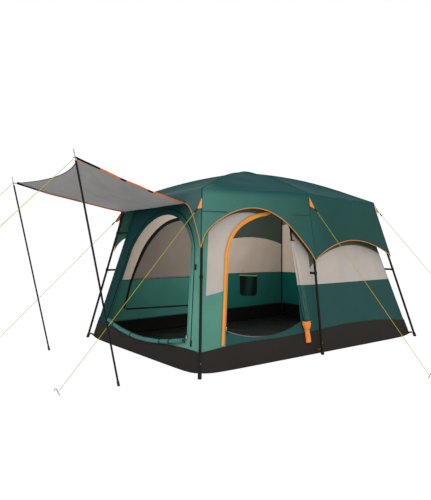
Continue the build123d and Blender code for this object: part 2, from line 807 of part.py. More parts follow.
def build():
    """Every piece of the tent, in its place."""
    pieces = {}
    for leg in LEGS:
        pieces[f"leg_{leg}"] = make_leg(leg)
        pieces[f"roof_pole_{leg}"] = make_roof_pole(leg)
    pieces["leg_feet"] = group(make_foot(leg) for leg in LEGS)
    pieces["shoulder_elbows"] = group(make_elbow(leg) for leg in LEGS)
    pieces["roof_hub"] = make_hub()

    floor = Box(2 * floor_half_x, 2 * floor_half_y, floor_thick)
    pieces["groundsheet"] = Pos(floor_shift_x, 0, floor_thick / 2) * floor
    sides = (("front_left", "front_right"), ("back_left", "back_right"), ("left",), ("right",))
    pieces["skirt"] = group(skirt_side(side) for side in sides)
    for bay in BAYS:
        pieces[f"wall_{bay}"] = make_wall(bay)
    pieces["mesh_ceiling"] = group(ceiling_panel(bay) for bay in BAYS)
    pieces["front_zip_flap"] = make_zip_flap()
    pieces["gathered_front_door"] = make_bundle()
    pieces["side_door_roll"] = make_roll()
    pieces["wall_pocket"] = make_pocket()
    pieces["wall_clips"] = group(make_clip(leg, share * shoulder_z)
                                  for leg in LEGS for share in clip_shares)

    pieces["fly_roof_front"] = group([fly_panel("front_left"), fly_panel("front_right")])
    pieces["fly_roof_back"] = group([fly_panel("back_left"), fly_panel("back_right")])
    pieces["fly_roof_left"] = fly_panel("left")
    pieces["fly_roof_right"] = fly_panel("right")
    pieces["fly_crown"] = make_crown()
    pieces["valance_front"] = group([arch_valance("front_left", front_left_hem),
                                     arch_valance("front_right", front_right_hem)])
    pieces["valance_back"] = group([arch_valance("back_left", back_left_hem),
                                    arch_valance("back_right", back_right_hem)])
    pieces["valance_left"] = make_side_valance()
    pieces["valance_right"] = arch_valance("right", right_hem)
    pieces["guy_tabs"] = group(make_tab(leg) for leg in LEGS)

    pieces["awning"] = make_awning()
    pieces["awning_corner_straps"] = group(make_corner_strap(side) for side in pole_tops)
    for side in pole_tops:
        pieces[f"awning_pole_{side}"] = make_awning_tube(side)
        pieces[f"awning_spike_{side}"] = make_spike(side)
        pieces[f"awning_shoe_{side}"] = make_shoe(side)

    pegs = []
    for leg, peg in guy_pegs.items():
        pieces[f"guy_{leg}"] = make_guy(tab_anchor(leg), peg, tab_length + tab_tip)
        pieces[f"runner_{leg}"] = make_runner(leg)
        pegs.append(make_peg(tab_anchor(leg), peg))
    for side, peg in awning_pegs.items():
        pieces[f"guy_awning_{side}"] = make_guy(ring_centre(side), peg, ring_outer + 2)
        pegs.append(make_peg(ring_centre(side), peg))
    pieces["ground_pegs"] = group(pegs)

    pieces["front_zip_slider"] = slider_on("front_left", front_sill_left, front_jamb_left,
                                           Vector(1, 0, 0))
    pieces["side_zip_slider"] = slider_on("left", side_sill_front, side_jamb_front,
                                          Vector(0, 1, 0))
    return pieces


os.makedirs("parts", exist_ok=True)
for name, piece in build().items():
    export_step(piece, f"parts/{name}.step")
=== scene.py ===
"""A family cabin tent on a steel frame, with a scalloped rain fly and a side awning on two poles."""

import bmesh
import bpy
import numpy as np
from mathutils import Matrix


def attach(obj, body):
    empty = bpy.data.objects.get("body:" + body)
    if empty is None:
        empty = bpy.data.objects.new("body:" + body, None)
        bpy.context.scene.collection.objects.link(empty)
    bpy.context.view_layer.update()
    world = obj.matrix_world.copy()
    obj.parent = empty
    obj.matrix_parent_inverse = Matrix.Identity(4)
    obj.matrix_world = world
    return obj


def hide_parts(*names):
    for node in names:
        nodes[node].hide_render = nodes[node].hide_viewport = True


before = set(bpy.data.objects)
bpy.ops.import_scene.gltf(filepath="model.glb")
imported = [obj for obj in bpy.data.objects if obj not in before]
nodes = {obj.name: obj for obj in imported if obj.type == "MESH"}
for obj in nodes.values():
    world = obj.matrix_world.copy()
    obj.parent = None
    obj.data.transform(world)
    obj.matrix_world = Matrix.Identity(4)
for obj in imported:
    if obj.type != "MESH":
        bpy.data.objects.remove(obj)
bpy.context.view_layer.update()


# Legs: six steel tubes that lean in from their feet, powder-coated black. The coat is even,
# slightly orange-peeled, and a little rubbed and dusty where hands and grass have touched it.

def srgb(r, g, b):
    """A colour in screen values from 0 to 255, as linear light."""
    c = np.array([r, g, b]) / 255
    return tuple(np.where(c <= 0.04045, c / 12.92, ((c + 0.055) / 1.055) ** 2.4))


def finish_of(name, colour, rough, **plain):
    """A material with one colour, one roughness and plain values on its shader's other sockets."""
    material = bpy.data.materials.new(name)
    material.use_nodes = True
    shader = material.node_tree.nodes["Principled BSDF"]
    shader.inputs["Base Color"].default_value = (*colour, 1)
    shader.inputs["Roughness"].default_value = rough
    for socket, value in plain.items():
        shader.inputs[socket.replace("_", " ")].default_value = value
    return material, material.node_tree, shader


def feed(tree, made, feeds):
    """Gives a shader node's inputs a value, a colour or another node's output."""
    for socket, source in feeds.items():
        if isinstance(source, bpy.types.NodeSocket):
            tree.links.new(source, made.inputs[socket])
        else:
            made.inputs[socket].default_value = (*source, 1) if isinstance(source, tuple) else source
    return made


def add(tree, kind, feeds=None, **settings):
    """A shader node with settings of its own, and its inputs fed."""
    made = tree.nodes.new("ShaderNode" + kind)
    for key, value in settings.items():
        setattr(made, key, value)
    return feed(tree, made, feeds or {})


def calc(tree, operation, *feeds):
    """The answer of one sum on values or sockets."""
    return add(tree, "Math", dict(enumerate(feeds)), operation=operation).outputs[0]


def mixed(tree, share, first, second):
    """Two colours, mixed by a share."""
    return add(tree, "Mix", {0: share, 6: first, 7: second}, data_type="RGBA").outputs[2]


def new_group(name, inputs, outputs):
    """An empty shader group with these named sockets, and its two end nodes."""
    tree = bpy.data.node_groups.new(name, "ShaderNodeTree")
    for sockets, way in ((inputs, "INPUT"), (outputs, "OUTPUT")):
        for socket, kind in sockets.items():
            tree.interface.new_socket(name=socket, in_out=way, socket_type="NodeSocket" + kind)
    return tree, tree.nodes.new("NodeGroupInput"), tree.nodes.new("NodeGroupOutput")


def grouped(tree, group, feeds):
    """A copy of a shader group in a material, with its inputs fed."""
    made = tree.nodes.new("ShaderNodeGroup")
    made.node_tree = group
    return feed(tree, made, feeds)


handled, given, taken = new_group(
    "handled surface", {"Colour": "Color", "Dust": "Color", "Grain": "Float", "Roughness": "Float"},
    {"Colour": "Color", "Roughness": "Float", "Height": "Float"})
place = add(handled, "TexCoord").outputs["Object"]
patches = add(handled, "TexNoise", {"Vector": place, "Scale": 7.0, "Detail": 5.0, "Roughness": 0.6})
grain = add(handled, "TexNoise", {"Vector": place, "Scale": given.outputs["Grain"], "Detail": 2.0})
dusty = calc(handled, "MULTIPLY", calc(handled, "SMOOTH_MAX", calc(
    handled, "SUBTRACT", patches.outputs[0], 0.5), 0.0, 0.05), 0.8)
handled.links.new(mixed(handled, dusty, given.outputs["Colour"], given.outputs["Dust"]),
                  taken.inputs["Colour"])
handled.links.new(calc(handled, "ADD", given.outputs["Roughness"], calc(
    handled, "MULTIPLY", calc(handled, "SUBTRACT", patches.outputs[0], 0.5), 0.35)),
    taken.inputs["Roughness"])
handled.links.new(grain.outputs[0], taken.inputs["Height"])


def hard_finish(name, colour, dust, rough, grain_scale, depth, **plain):
    """A hard surface with uneven dust and gloss, and a fine grain of that depth."""
    material, tree, shader = finish_of(name, colour, rough, **plain)
    look = grouped(tree, handled, {"Colour": colour, "Dust": dust, "Grain": grain_scale,
                                   "Roughness": rough})
    bump = add(tree, "Bump", {"Height": look.outputs["Height"], "Strength": 0.35, "Distance": depth})
    tree.links.new(look.outputs["Colour"], shader.inputs["Base Color"])
    tree.links.new(look.outputs["Roughness"], shader.inputs["Roughness"])
    tree.links.new(bump.outputs[0], shader.inputs["Normal"])
    return material


def dress(material, *names):
    """Gives CAD nodes this material."""
    for name in names:
        nodes[name].data.materials.clear()
        nodes[name].data.materials.append(material)


legs = {"front_left": (-1, -1), "front_middle": (0, -1), "front_right": (1, -1),
        "back_left": (-1, 1), "back_middle": (0, 1), "back_right": (1, 1)}
powder_coat = hard_finish("black powder coat", srgb(14, 13, 13), srgb(36, 33, 31), 0.5, 900.0, 0.0004,
                          Specular_IOR_Level=0.2)
dress(powder_coat, *("leg_" + leg for leg in legs))


# Elbows, hub and feet: black nylon, moulded with a fine spark-eroded grain. The elbows are pushed
# over the legs' ends, the hub takes all six roof poles, and the feet are cups that stand on the ground.

nylon = hard_finish("moulded black nylon", srgb(18, 17, 17), srgb(46, 43, 40), 0.55, 1600.0, 0.0006,
                    Specular_IOR_Level=0.25)
dress(nylon, "shoulder_elbows", "roof_hub", "leg_feet")


# Roof poles: black glass-fibre rods, pultruded, with a resin gloss. Each is sprung into an elbow at
# one end and the hub at the other, and the fly lies on it.

glass_fibre = hard_finish("black glass fibre", srgb(24, 24, 25), srgb(60, 58, 56), 0.28, 500.0, 0.0002,
                          Coat_Weight=0.4)
dress(glass_fibre, *("roof_pole_" + leg for leg in legs))


# Groundsheet: woven polyethylene, black and shiny, welded along the foot of the skirt. It lies on the
# ground and shows soft creases from the fold it was packed in.

def ripple(points, length, seed, waves=14):
    """Smooth unevenness about 1 high: sine waves about that long, added up in seeded directions."""
    dice = np.random.default_rng(seed)
    way = dice.normal(size=(waves, 3))
    way /= np.linalg.norm(way, axis=1, keepdims=True)
    pitch = 2 * np.pi / (length * dice.uniform(0.6, 1.7, waves))
    wave = np.sin(points @ (way * pitch[:, None]).T + dice.uniform(0, 2 * np.pi, waves))
    return wave.sum(-1) / np.sqrt(waves)


def built(name, grids, *finishes, body="tent", inside=(-0.1, 0.0, 0.9)):
    """An object from grids of points, each rows by columns with its flat places in metres: quads between
    neighbours, edges that meet are merged, and faces turned away from the point inside."""
    points, flats, quads, start = [], [], [], 0
    for grid, flat in grids:
        rows, columns = grid.shape[:2]
        index = start + np.arange(rows * columns).reshape(rows, columns)
        faces = np.stack([index[:-1, :-1], index[:-1, 1:], index[1:, 1:], index[1:, :-1]], -1).reshape(-1, 4)
        if inside is not None:
            a, b, c, d = (grid.reshape(-1, 3)[faces[:, k] - start] for k in range(4))
            facing = (np.cross(c - a, d - b) * ((a + c) / 2 - np.array(inside))).sum()
            faces = faces if facing > 0 else faces[:, ::-1]
        quads.append(faces)
        points.append(grid.reshape(-1, 3))
        flats.append(np.broadcast_to(flat, grid.shape[:2] + (2,)).reshape(-1, 2))
        start += rows * columns
    points, flats, quads = np.concatenate(points), np.concatenate(flats), np.concatenate(quads)
    mesh = bpy.data.meshes.new(name)
    mesh.from_pydata(points.tolist(), [], quads.tolist())
    layer = mesh.uv_layers.new(name="UVMap")
    layer.data.foreach_set("uv", flats[quads.reshape(-1)].astype(np.float32).ravel())
    shell = bmesh.new()
    shell.from_mesh(mesh)
    bmesh.ops.remove_doubles(shell, verts=shell.verts, dist=2e-5)
    if inside is None:
        bmesh.ops.recalc_face_normals(shell, faces=shell.faces)
    shell.to_mesh(mesh)
    shell.free()
    mesh.polygons.foreach_set("use_smooth", np.ones(len(mesh.polygons), bool))
    for finish in finishes:
        mesh.materials.append(finish)
    made = bpy.data.objects.new(name, mesh)
    bpy.context.scene.collection.objects.link(made)
    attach(made, body)
    return made


def thicken(piece, thickness, back_slot=0):
    """Gives a sheet its thickness, half to each side; back_slot is the step to its back face's material."""
    solid = piece.modifiers.new("cloth", "SOLIDIFY")
    solid.thickness = thickness
    solid.offset = 0.0
    solid.material_offset = back_slot
    return piece


woven, given, taken = new_group(
    "woven cloth", {"Colour": "Color", "Thread": "Float", "Crease": "Float", "Roughness": "Float"},
    {"Colour": "Color", "Roughness": "Float", "Height": "Float"})
flat = add(woven, "TexCoord").outputs["UV"]
place = add(woven, "TexCoord").outputs["Object"]
warp = add(woven, "TexWave", {"Vector": flat, "Scale": given.outputs["Thread"]}, bands_direction="X")
weft = add(woven, "TexWave", {"Vector": flat, "Scale": given.outputs["Thread"]}, bands_direction="Y")
weave = calc(woven, "MULTIPLY", warp.outputs["Fac"], weft.outputs["Fac"])
shade = add(woven, "TexNoise", {"Vector": place, "Scale": 3.2, "Detail": 4.0, "Roughness": 0.55})
crumple = add(woven, "TexNoise", {"Vector": place, "Scale": 9.0, "Detail": 3.0, "Distortion": 0.7})
tone = calc(woven, "MULTIPLY_ADD", calc(woven, "SUBTRACT", shade.outputs["Fac"], 0.5), 0.34, calc(
    woven, "MULTIPLY_ADD", weave, 0.10, 0.96))
toned = add(woven, "HueSaturation", {"Color": given.outputs["Colour"], "Value": tone})
woven.links.new(toned.outputs[0], taken.inputs["Colour"])
woven.links.new(calc(woven, "MULTIPLY_ADD", calc(woven, "SUBTRACT", shade.outputs["Fac"], 0.5), 0.3,
                     given.outputs["Roughness"]), taken.inputs["Roughness"])
woven.links.new(calc(woven, "MULTIPLY_ADD", crumple.outputs["Fac"], given.outputs["Crease"], calc(
    woven, "MULTIPLY", weave, 0.004)), taken.inputs["Height"])


def weave_into(tree, shader, colour, rough, thread=700.0, crease=1.0, depth=0.004):
    """Joins the woven cloth group to a shader, on a plain colour or on a colour socket."""
    look = grouped(tree, woven, {"Colour": colour, "Thread": thread, "Crease": crease, "Roughness": rough})
    bump = add(tree, "Bump", {"Height": look.outputs["Height"], "Strength": 0.5, "Distance": depth})
    tree.links.new(look.outputs["Colour"], shader.inputs["Base Color"])
    tree.links.new(look.outputs["Roughness"], shader.inputs["Roughness"])
    tree.links.new(bump.outputs[0], shader.inputs["Normal"])


def cloth_finish(name, colour, rough, thread=700.0, crease=1.0, depth=0.004, gloss=0.1):
    """A woven cloth of one colour, dull unless it has gloss."""
    material, tree, shader = finish_of(name, colour, rough, Specular_IOR_Level=gloss)
    weave_into(tree, shader, colour, rough, thread, crease, depth)
    return material


floor_shift, floor_half = 0.016, np.array([1.629, 1.135])
black_sheet = cloth_finish("black floor sheet", srgb(20, 18, 16), 0.42, 420.0, 1.2, 0.010, gloss=0.5)


def corner_lift(x, y):
    """How far the sheet is drawn up near its corners, where webbing ties it to the legs' feet."""
    reach = np.hypot(floor_half[0] - abs(x - floor_shift), floor_half[1] - abs(y))
    return 0.026 * np.exp(-reach / 0.10)


across, deep = np.meshgrid(np.linspace(-1, 1, 201), np.linspace(-1, 1, 141))
ground = np.stack([floor_shift + across * floor_half[0], deep * floor_half[1], np.zeros_like(across)], -1)
lying = np.clip((1 - np.maximum(abs(across), abs(deep))) * 12, 0, 1)
creases = np.exp(-4 * abs(ripple(ground, 0.55, 3))) + 0.6 * np.exp(-5 * abs(ripple(ground, 0.3, 4)))
ground[..., 2] = 0.003 + 0.016 * lying * creases + corner_lift(ground[..., 0], ground[..., 1])
groundsheet = thicken(built("floor", [(ground, ground[..., :2])], black_sheet, inside=(0, 0, -1)), 0.0015)
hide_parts("groundsheet")


# Skirt: the groundsheet's heavy cloth turned up round the foot of the walls, one length to a bay, sewn
# to each other at the corners. Its top edge is sewn to the walls.

wall_top, skirt_top = 1.632, 0.212
top_half_x, wall_corner_lean, wall_middle_lean = 1.234, 0.417, 0.195
middle_x = -0.096
bays = {"front_left": ("front_left", "front_middle"), "front_right": ("front_middle", "front_right"),
        "back_left": ("back_left", "back_middle"), "back_right": ("back_middle", "back_right"),
        "left": ("front_left", "back_left"), "right": ("front_right", "back_right")}
outward = {"front_left": (0, -1, 0), "front_right": (0, -1, 0), "back_left": (0, 1, 0),
           "back_right": (0, 1, 0), "left": (-1, 0, 0), "right": (1, 0, 0)}


def wall_seam(leg, z):
    """The inner tent's seam beside a leg: a straight line from the floor's edge to the wall's top."""
    side_x, side_y = legs[leg]
    z = np.asarray(z, float)
    rise = z / wall_top
    floor_x = floor_shift + side_x * floor_half[0]
    x = floor_x + (side_x * top_half_x - floor_x) * rise if side_x else np.full(z.shape, middle_x)
    y = side_y * (floor_half[1] - (wall_corner_lean if side_x else wall_middle_lean) * rise)
    return np.stack([x, y, z], -1)


def on_wall(bay, along, z, out=0.0):
    """A wall's point at height z, on the straight line between its seams, where its x (front and back) or
    its y (left and right) is along; out moves it off the wall."""
    along, z = np.broadcast_arrays(np.asarray(along, float), np.asarray(z, float))
    a, b = (wall_seam(leg, z) for leg in bays[bay])
    k = 1 if bay in ("left", "right") else 0
    share = (along - a[..., k]) / (b[..., k] - a[..., k])
    return a + (b - a) * share[..., None] + np.array(outward[bay]) * np.asarray(out)[..., None]


skirt_cloth = cloth_finish("brown-black skirt sheet", srgb(48, 43, 40), 0.7, 420.0, 1.0, 0.006)
skirt_edges = {"front_left": ((0, .1, .2, .4, .65, .85, 1), (.188, .200, .212, .222, .217, .228, .235)),
               "front_right": ((0, .15, .35, .65, .9, 1), (.235, .250, .260, .252, .216, .196)),
               "left": ((0, .06, .2, .4, .7, .95, 1), (.188, .198, .183, .165, .163, .200, .204)),
               "back_left": ((0, 1), (.256, .290)), "back_right": ((0, 1), (.290, .322)),
               "right": ((0, .1, 1), (.196, .240, .322))}
lengths = []
for bay, (first, second) in bays.items():
    u, rows = np.linspace(0, 1, 100)[None], np.linspace(0, 1, 20)[:, None]
    edge = np.interp(u[0], *skirt_edges[bay])
    edge = np.convolve(np.pad(edge, 6, "edge"), np.ones(13) / 13, "valid")
    flat_foot = wall_seam(first, 0.0) + (wall_seam(second, 0.0) - wall_seam(first, 0.0)) * u[0][:, None]
    foot = 0.001 + corner_lift(flat_foot[:, 0], flat_foot[:, 1])
    z = foot + (edge - foot) * rows
    point = wall_seam(first, z) + (wall_seam(second, z) - wall_seam(first, z)) * u[..., None]
    slack = 0.0045 + 0.003 * np.sin(np.pi * rows) * np.clip(1 + ripple(point * [1, 1, 0.35], 0.22, 11), 0, 3)
    point += np.array(outward[bay]) * slack[..., None]
    for leg, near in ((first, 1 - u / 0.03), (second, 1 - (1 - u) / 0.03)):
        past = np.array([*legs[leg], 0]) - outward[bay]
        point += (0.0045 * np.clip(near, 0, 1))[..., None] * past
    lengths.append((point, np.stack([u * np.linalg.norm(flat_foot[-1] - flat_foot[0]) + 0 * z, z], -1)))
skirt_lining = cloth_finish("black skirt lining", srgb(12, 11, 10), 0.7, 420.0)
skirt = thicken(built("skirt_strip", lengths, skirt_cloth, skirt_lining), 0.0016, 1)
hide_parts("skirt")


# Walls: six bays of coated polyester, green below and cream above, with a dark mesh arch at the top,
# sewn to each other at the seams beside the legs. The front left and the left bay have doors.

def arc3(first, through, last, count):
    """Points on the circle through three flat points, from the first to the last."""
    (ax, ay), (bx, by), (cx, cy) = first, through, last
    d = 2 * (ax * (by - cy) + bx * (cy - ay) + cx * (ay - by))
    a2, b2, c2 = ax * ax + ay * ay, bx * bx + by * by, cx * cx + cy * cy
    centre = np.array([(a2 * (by - cy) + b2 * (cy - ay) + c2 * (ay - by)) / d,
                       (a2 * (cx - bx) + b2 * (ax - cx) + c2 * (bx - ax)) / d])
    turn = [np.arctan2(p[1] - centre[1], p[0] - centre[0]) for p in (first, through, last)]
    turn = np.unwrap(turn)
    angle = np.linspace(turn[0], turn[2], count)
    radius = np.hypot(ax - centre[0], ay - centre[1])
    return centre + radius * np.stack([np.cos(angle), np.sin(angle)], -1)


def smooth(points, count):
    """A curve through points: cubic pieces whose slope at a point is the one between its neighbours."""
    points = np.asarray(points, float)
    at = np.concatenate([[0], np.cumsum(np.linalg.norm(np.diff(points, axis=0), axis=1))])
    slope = np.gradient(points, at, axis=0)
    place = np.linspace(0, at[-1], count)
    k = np.clip(np.searchsorted(at, place, side="right") - 1, 0, len(at) - 2)
    h = (at[k + 1] - at[k])[:, None]
    s = (place - at[k])[:, None] / h
    return points[k] + (points[k + 1] - points[k]) * s * s * (3 - 2 * s) + h * s * (1 - s) * (
        slope[k] * (1 - s) - slope[k + 1] * s)


def from_seam(bay, margin, z):
    """The place along a wall, a margin from its first seam, or from its second if negative."""
    a, b = (wall_seam(leg, z) for leg in bays[bay])
    way = (b - a) / np.linalg.norm(b - a, axis=-1, keepdims=True)
    k = 1 if bay in ("left", "right") else 0
    return ((a if margin >= 0 else b) + way * margin)[..., k]


def door_edge(bay, first, second, sill_z, jamb_z, head, dip, widen=0.0, count=48):
    """A door's edge in flat places (along, height): first jamb up, head, second jamb down, sill. The head is
    a curve through the places given, or the round arch of that height."""
    low_a, high_a = from_seam(bay, first, sill_z), from_seam(bay, first, jamb_z)
    low_b, high_b = from_seam(bay, -second, sill_z), from_seam(bay, -second, jamb_z)
    way = np.sign(high_b - high_a)
    low_a, high_a = low_a - way * widen, high_a - way * widen
    low_b, high_b = low_b + way * widen, high_b + way * widen
    rise = np.linspace(0, 1, count)[:, None]
    up = np.array([low_a, sill_z]) * (1 - rise) + np.array([high_a, jamb_z]) * rise
    if isinstance(head, tuple):
        top = smooth([(high_a, jamb_z), *head, (high_b, jamb_z)], count)
    else:
        top = arc3((high_a, jamb_z), ((high_a + high_b) / 2, head + widen), (high_b, jamb_z), count)
    down = np.array([high_b, jamb_z]) * (1 - rise) + np.array([low_b, sill_z]) * rise
    sill = arc3((low_b, sill_z), ((low_a + low_b) / 2, sill_z - dip), (low_a, sill_z), count)
    return up, top, down, sill


front_door = dict(bay="front_left", first=0.265, second=0.200, sill_z=0.348, jamb_z=1.040, dip=0.098,
                  head=((-1.042, 1.170), (-.962, 1.265), (-.862, 1.340), (-.743, 1.396), (-.591, 1.436),
                        (-.480, 1.446), (-.380, 1.410), (-.318, 1.310), (-.298, 1.180)))
side_door = dict(bay="left", first=0.195, second=0.272, sill_z=0.272, jamb_z=1.087, head=1.462, dip=0.082)


wall_feet = {"front_left": 0.150, "front_middle": 0.150, "front_right": 0.186, "back_left": 0.172,
             "back_middle": 0.188, "back_right": 0.220}


def wall_grids(bay, door=None):
    """A wall as flat places on grids: whole, or in four parts between its door's edge and its own edges."""
    low, high = 0.150, wall_top
    k = 1 if bay in ("left", "right") else 0
    if door is None:
        share = np.linspace(0, 1, 72)
        foot = np.interp(share, (0, 1), [wall_feet[leg] for leg in bays[bay]])
        z = foot + (high - foot) * np.linspace(0, 1, 64)[:, None]
        a, b = (wall_seam(leg, z)[..., k] for leg in bays[bay])
        return [np.stack([a + (b - a) * share, z], -1)]
    rise = np.linspace(0, 1, 48)
    z = low + (high - low) * rise
    first, second = (np.stack([wall_seam(leg, z)[:, k], z], -1) for leg in bays[bay])
    top = first[-1] + (second[-1] - first[-1]) * rise[:, None]
    foot = second[0] + (first[0] - second[0]) * rise[:, None]
    out = np.linspace(0, 1, 22)[:, None, None]
    return [inner[None] * (1 - out) + outer[None] * out
            for inner, outer in zip(door_edge(**door), (first, top, second[::-1], foot))]


panels, given, taken = new_group(
    "wall panels", {"Along": "Float", "Height": "Float", "Low": "Color", "High": "Color", "Mesh": "Color",
                    "Band": "Float", "Centre": "Float", "Half": "Float", "Spring": "Float", "Rise": "Float",
                    "Lean": "Float", "Strip": "Float"}, {"Colour": "Color"})
seam_lean = (floor_half[0] - floor_shift - top_half_x) / wall_top
inner = calc(panels, "GREATER_THAN", calc(panels, "MULTIPLY_ADD", given.outputs["Height"], -seam_lean,
                                          given.outputs["Along"]), given.outputs["Strip"])
above = calc(panels, "MULTIPLY", inner, calc(
    panels, "GREATER_THAN", given.outputs["Height"], given.outputs["Band"]))
beside = calc(panels, "SUBTRACT", given.outputs["Along"], given.outputs["Centre"])
off = calc(panels, "DIVIDE", beside, given.outputs["Half"])
bow = calc(panels, "SQRT", calc(panels, "MAXIMUM", calc(panels, "SUBTRACT", 1.0, calc(
    panels, "MULTIPLY", off, off)), 0.0))
arch = calc(panels, "MULTIPLY_ADD", bow, given.outputs["Rise"], calc(
    panels, "MULTIPLY_ADD", beside, given.outputs["Lean"], given.outputs["Spring"]))
netted = calc(panels, "GREATER_THAN", given.outputs["Height"], arch)
panels.links.new(mixed(panels, netted, mixed(panels, above, given.outputs["Low"], given.outputs["High"]),
                       given.outputs["Mesh"]), taken.inputs["Colour"])


def place_on(tree):
    """The place of a point on the object, as the sockets X, Y and Z."""
    return add(tree, "SeparateXYZ", {0: add(tree, "TexCoord").outputs["Object"]}).outputs


# Painted light: a green that is lit near the tent's front left corner and turns to painted shade further from
# it, standing for the light that falls on that corner.
corner_light_paint, given, taken = new_group(
    "green towards the front left corner",
    {"Near": "Color", "Far": "Color", "Start": "Float", "End": "Float"}, {"Colour": "Color"})
spot = place_on(corner_light_paint)
east = calc(corner_light_paint, "ADD", spot["X"], 1.5)
north = calc(corner_light_paint, "ADD", spot["Y"], 1.05)
reach = calc(corner_light_paint, "SQRT", calc(corner_light_paint, "MULTIPLY_ADD", east, east, calc(corner_light_paint, "MULTIPLY", north, north)))
corner_shade_share = calc(corner_light_paint, "POWER", add(corner_light_paint, "MapRange", {
    0: reach, 1: given.outputs["Start"], 2: given.outputs["End"]}).outputs[0], 0.6)
corner_light_paint.links.new(mixed(corner_light_paint, corner_shade_share, given.outputs["Near"], given.outputs["Far"]), taken.inputs["Colour"])

green_lit_near_corner, green_shaded_far = srgb(88, 145, 128), srgb(42, 81, 78)
flap_lean, flap_foot, dip_start, dip_slope = 0.2041, -1.326, -1.22, 0.18
door_middle, band_step = -0.5, 0.016
unseen = 3.0


def wall_finish(name, band, centre, half, spring, rise, lean=0.0, strip=-9.0, sideways=False, flap=False,
                greens=(green_lit_near_corner, green_shaded_far), cream=srgb(194, 185, 176), net=srgb(84, 96, 86)):
    """A wall's cloth: green to the band's height, cream to the arch over it, and mesh above. The green
    carries painted light: lightest at the tent's front left corner, and darker away from it as painted shade.
    On the wall with the storm flap it is light left of the flap and painted shade right of it, and the band
    slopes down there and is a little higher past the door."""
    material, tree, shader = finish_of(name, greens[0], 0.7, Specular_IOR_Level=0.1)
    spot = place_on(tree)
    # Painted light on the front door wall: light green left of the storm flap, painted shade right of it.
    if flap:
        upright = calc(tree, "MULTIPLY_ADD", spot["Z"], -flap_lean, spot["X"])
        green = mixed(tree, calc(tree, "GREATER_THAN", upright, flap_foot), *greens)
        dipped = calc(tree, "MAXIMUM", calc(tree, "SUBTRACT", dip_start, spot["X"]), 0.0)
        past_door = calc(tree, "GREATER_THAN", spot["X"], door_middle)
        band = calc(tree, "MULTIPLY_ADD", past_door, band_step, calc(
            tree, "MULTIPLY_ADD", dipped, -dip_slope, band))
    else:
        green = grouped(tree, corner_light_paint, {"Near": greens[0], "Far": greens[1], "Start": 0.30,
                                      "End": 0.80}).outputs["Colour"]
    zones = grouped(tree, panels, {"Along": spot["Y" if sideways else "X"], "Height": spot["Z"],
                                   "Low": green, "High": cream, "Mesh": net, "Band": band,
                                   "Centre": centre, "Half": half, "Spring": spring, "Rise": rise,
                                   "Lean": lean, "Strip": strip})
    weave_into(tree, shader, zones.outputs["Colour"], 0.7)
    return material


# The inside faces of the back and right walls are lighter and darker copies of the outer cloth, one to a bay:
# painted light and painted shade for the tent's inside. Their net is darker than outside, painted shade.
shaded_inner_net = srgb(58, 68, 59)
outer_looks = {
    "front_left": wall_finish("front door wall", 0.70, -0.728, 0.784, 0.568, 0.888, -0.104, -1.571, flap=True,
                              greens=(green_lit_near_corner, srgb(40, 83, 79))),
    "front_right": wall_finish("front right wall", 0.715, 0.683, 0.90, 0.73, 0.406, 0.058),
    "back_left": wall_finish("back left wall", 0.722, -0.70, 0.95, 0.80, 0.74),
    "back_right": wall_finish("back right wall", 0.722, 0.683, 0.90, 0.73, 0.406),
    # The side door wall's far green is very dark, a painted shadow of the awning.
    "left": wall_finish("side door wall", unseen, 0.0, 1.0, unseen, 0.1, sideways=True,
                        greens=(srgb(104, 168, 149), srgb(8, 64, 62))),
    "right": wall_finish("right wall", 0.722, 0.0, 1.4, 1.1, 0.42, sideways=True)}
inner_looks = {
    "back_left": wall_finish("back left wall inside", 0.708, -0.70, 0.95, 0.80, 0.74, net=shaded_inner_net,
                             cream=srgb(204, 188, 172), greens=(srgb(62, 116, 103), srgb(52, 104, 92))),
    "back_right": wall_finish("back right wall inside", 0.735, 0.733, 1.347, 0.343, 0.926, net=shaded_inner_net,
                              cream=srgb(168, 154, 141), greens=(srgb(46, 94, 84), srgb(24, 82, 73))),
    "right": wall_finish("right wall inside", 0.735, 0.0, 1.4, 1.1, 0.42, sideways=True,
                         cream=srgb(206, 189, 170), greens=(srgb(18, 84, 76), srgb(12, 84, 76)))}
doors = {"front_left": front_door, "left": side_door}


def on_cloth(bay, along, z, out=0.0):
    """A point on a wall as its cloth hangs: the straight wall moved in and out by soft waves that end at its
    seams and its foot, and are low beside a door; out moves it off the cloth."""
    point = on_wall(bay, along, z)
    a, b = (wall_seam(leg, z)[..., 1 if bay in ("left", "right") else 0] for leg in bays[bay])
    share = (along - a) / (b - a)
    hold = np.sin(np.pi * np.clip((z - 0.27) / (wall_top - 0.27), 0, 1)) * (0.4 if bay in doors else 1)
    hold = hold * np.clip(np.minimum(share, 1 - share) / 0.08, 0, 1)
    wave = 0.006 * hold * ripple(point * [1, 1, 0.4], 0.35, 21) + out
    return point + np.array(outward[bay]) * wave[..., None]


for bay in bays:
    parts = [(on_cloth(bay, flat_places[..., 0], flat_places[..., 1]), flat_places)
             for flat_places in wall_grids(bay, doors.get(bay))]
    looks = [side[bay] for side in (outer_looks, inner_looks) if bay in side]
    wall = thicken(built("wall_cloth_" + bay, parts, *looks), 0.0014, len(looks) - 1)
    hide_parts("wall_" + bay)


# Mesh ceiling: six dark net panels from the wall tops up to a small ring under the hub. The net is
# knitted polyester, so fine that it looks like a dull dark cloth from a few steps away.

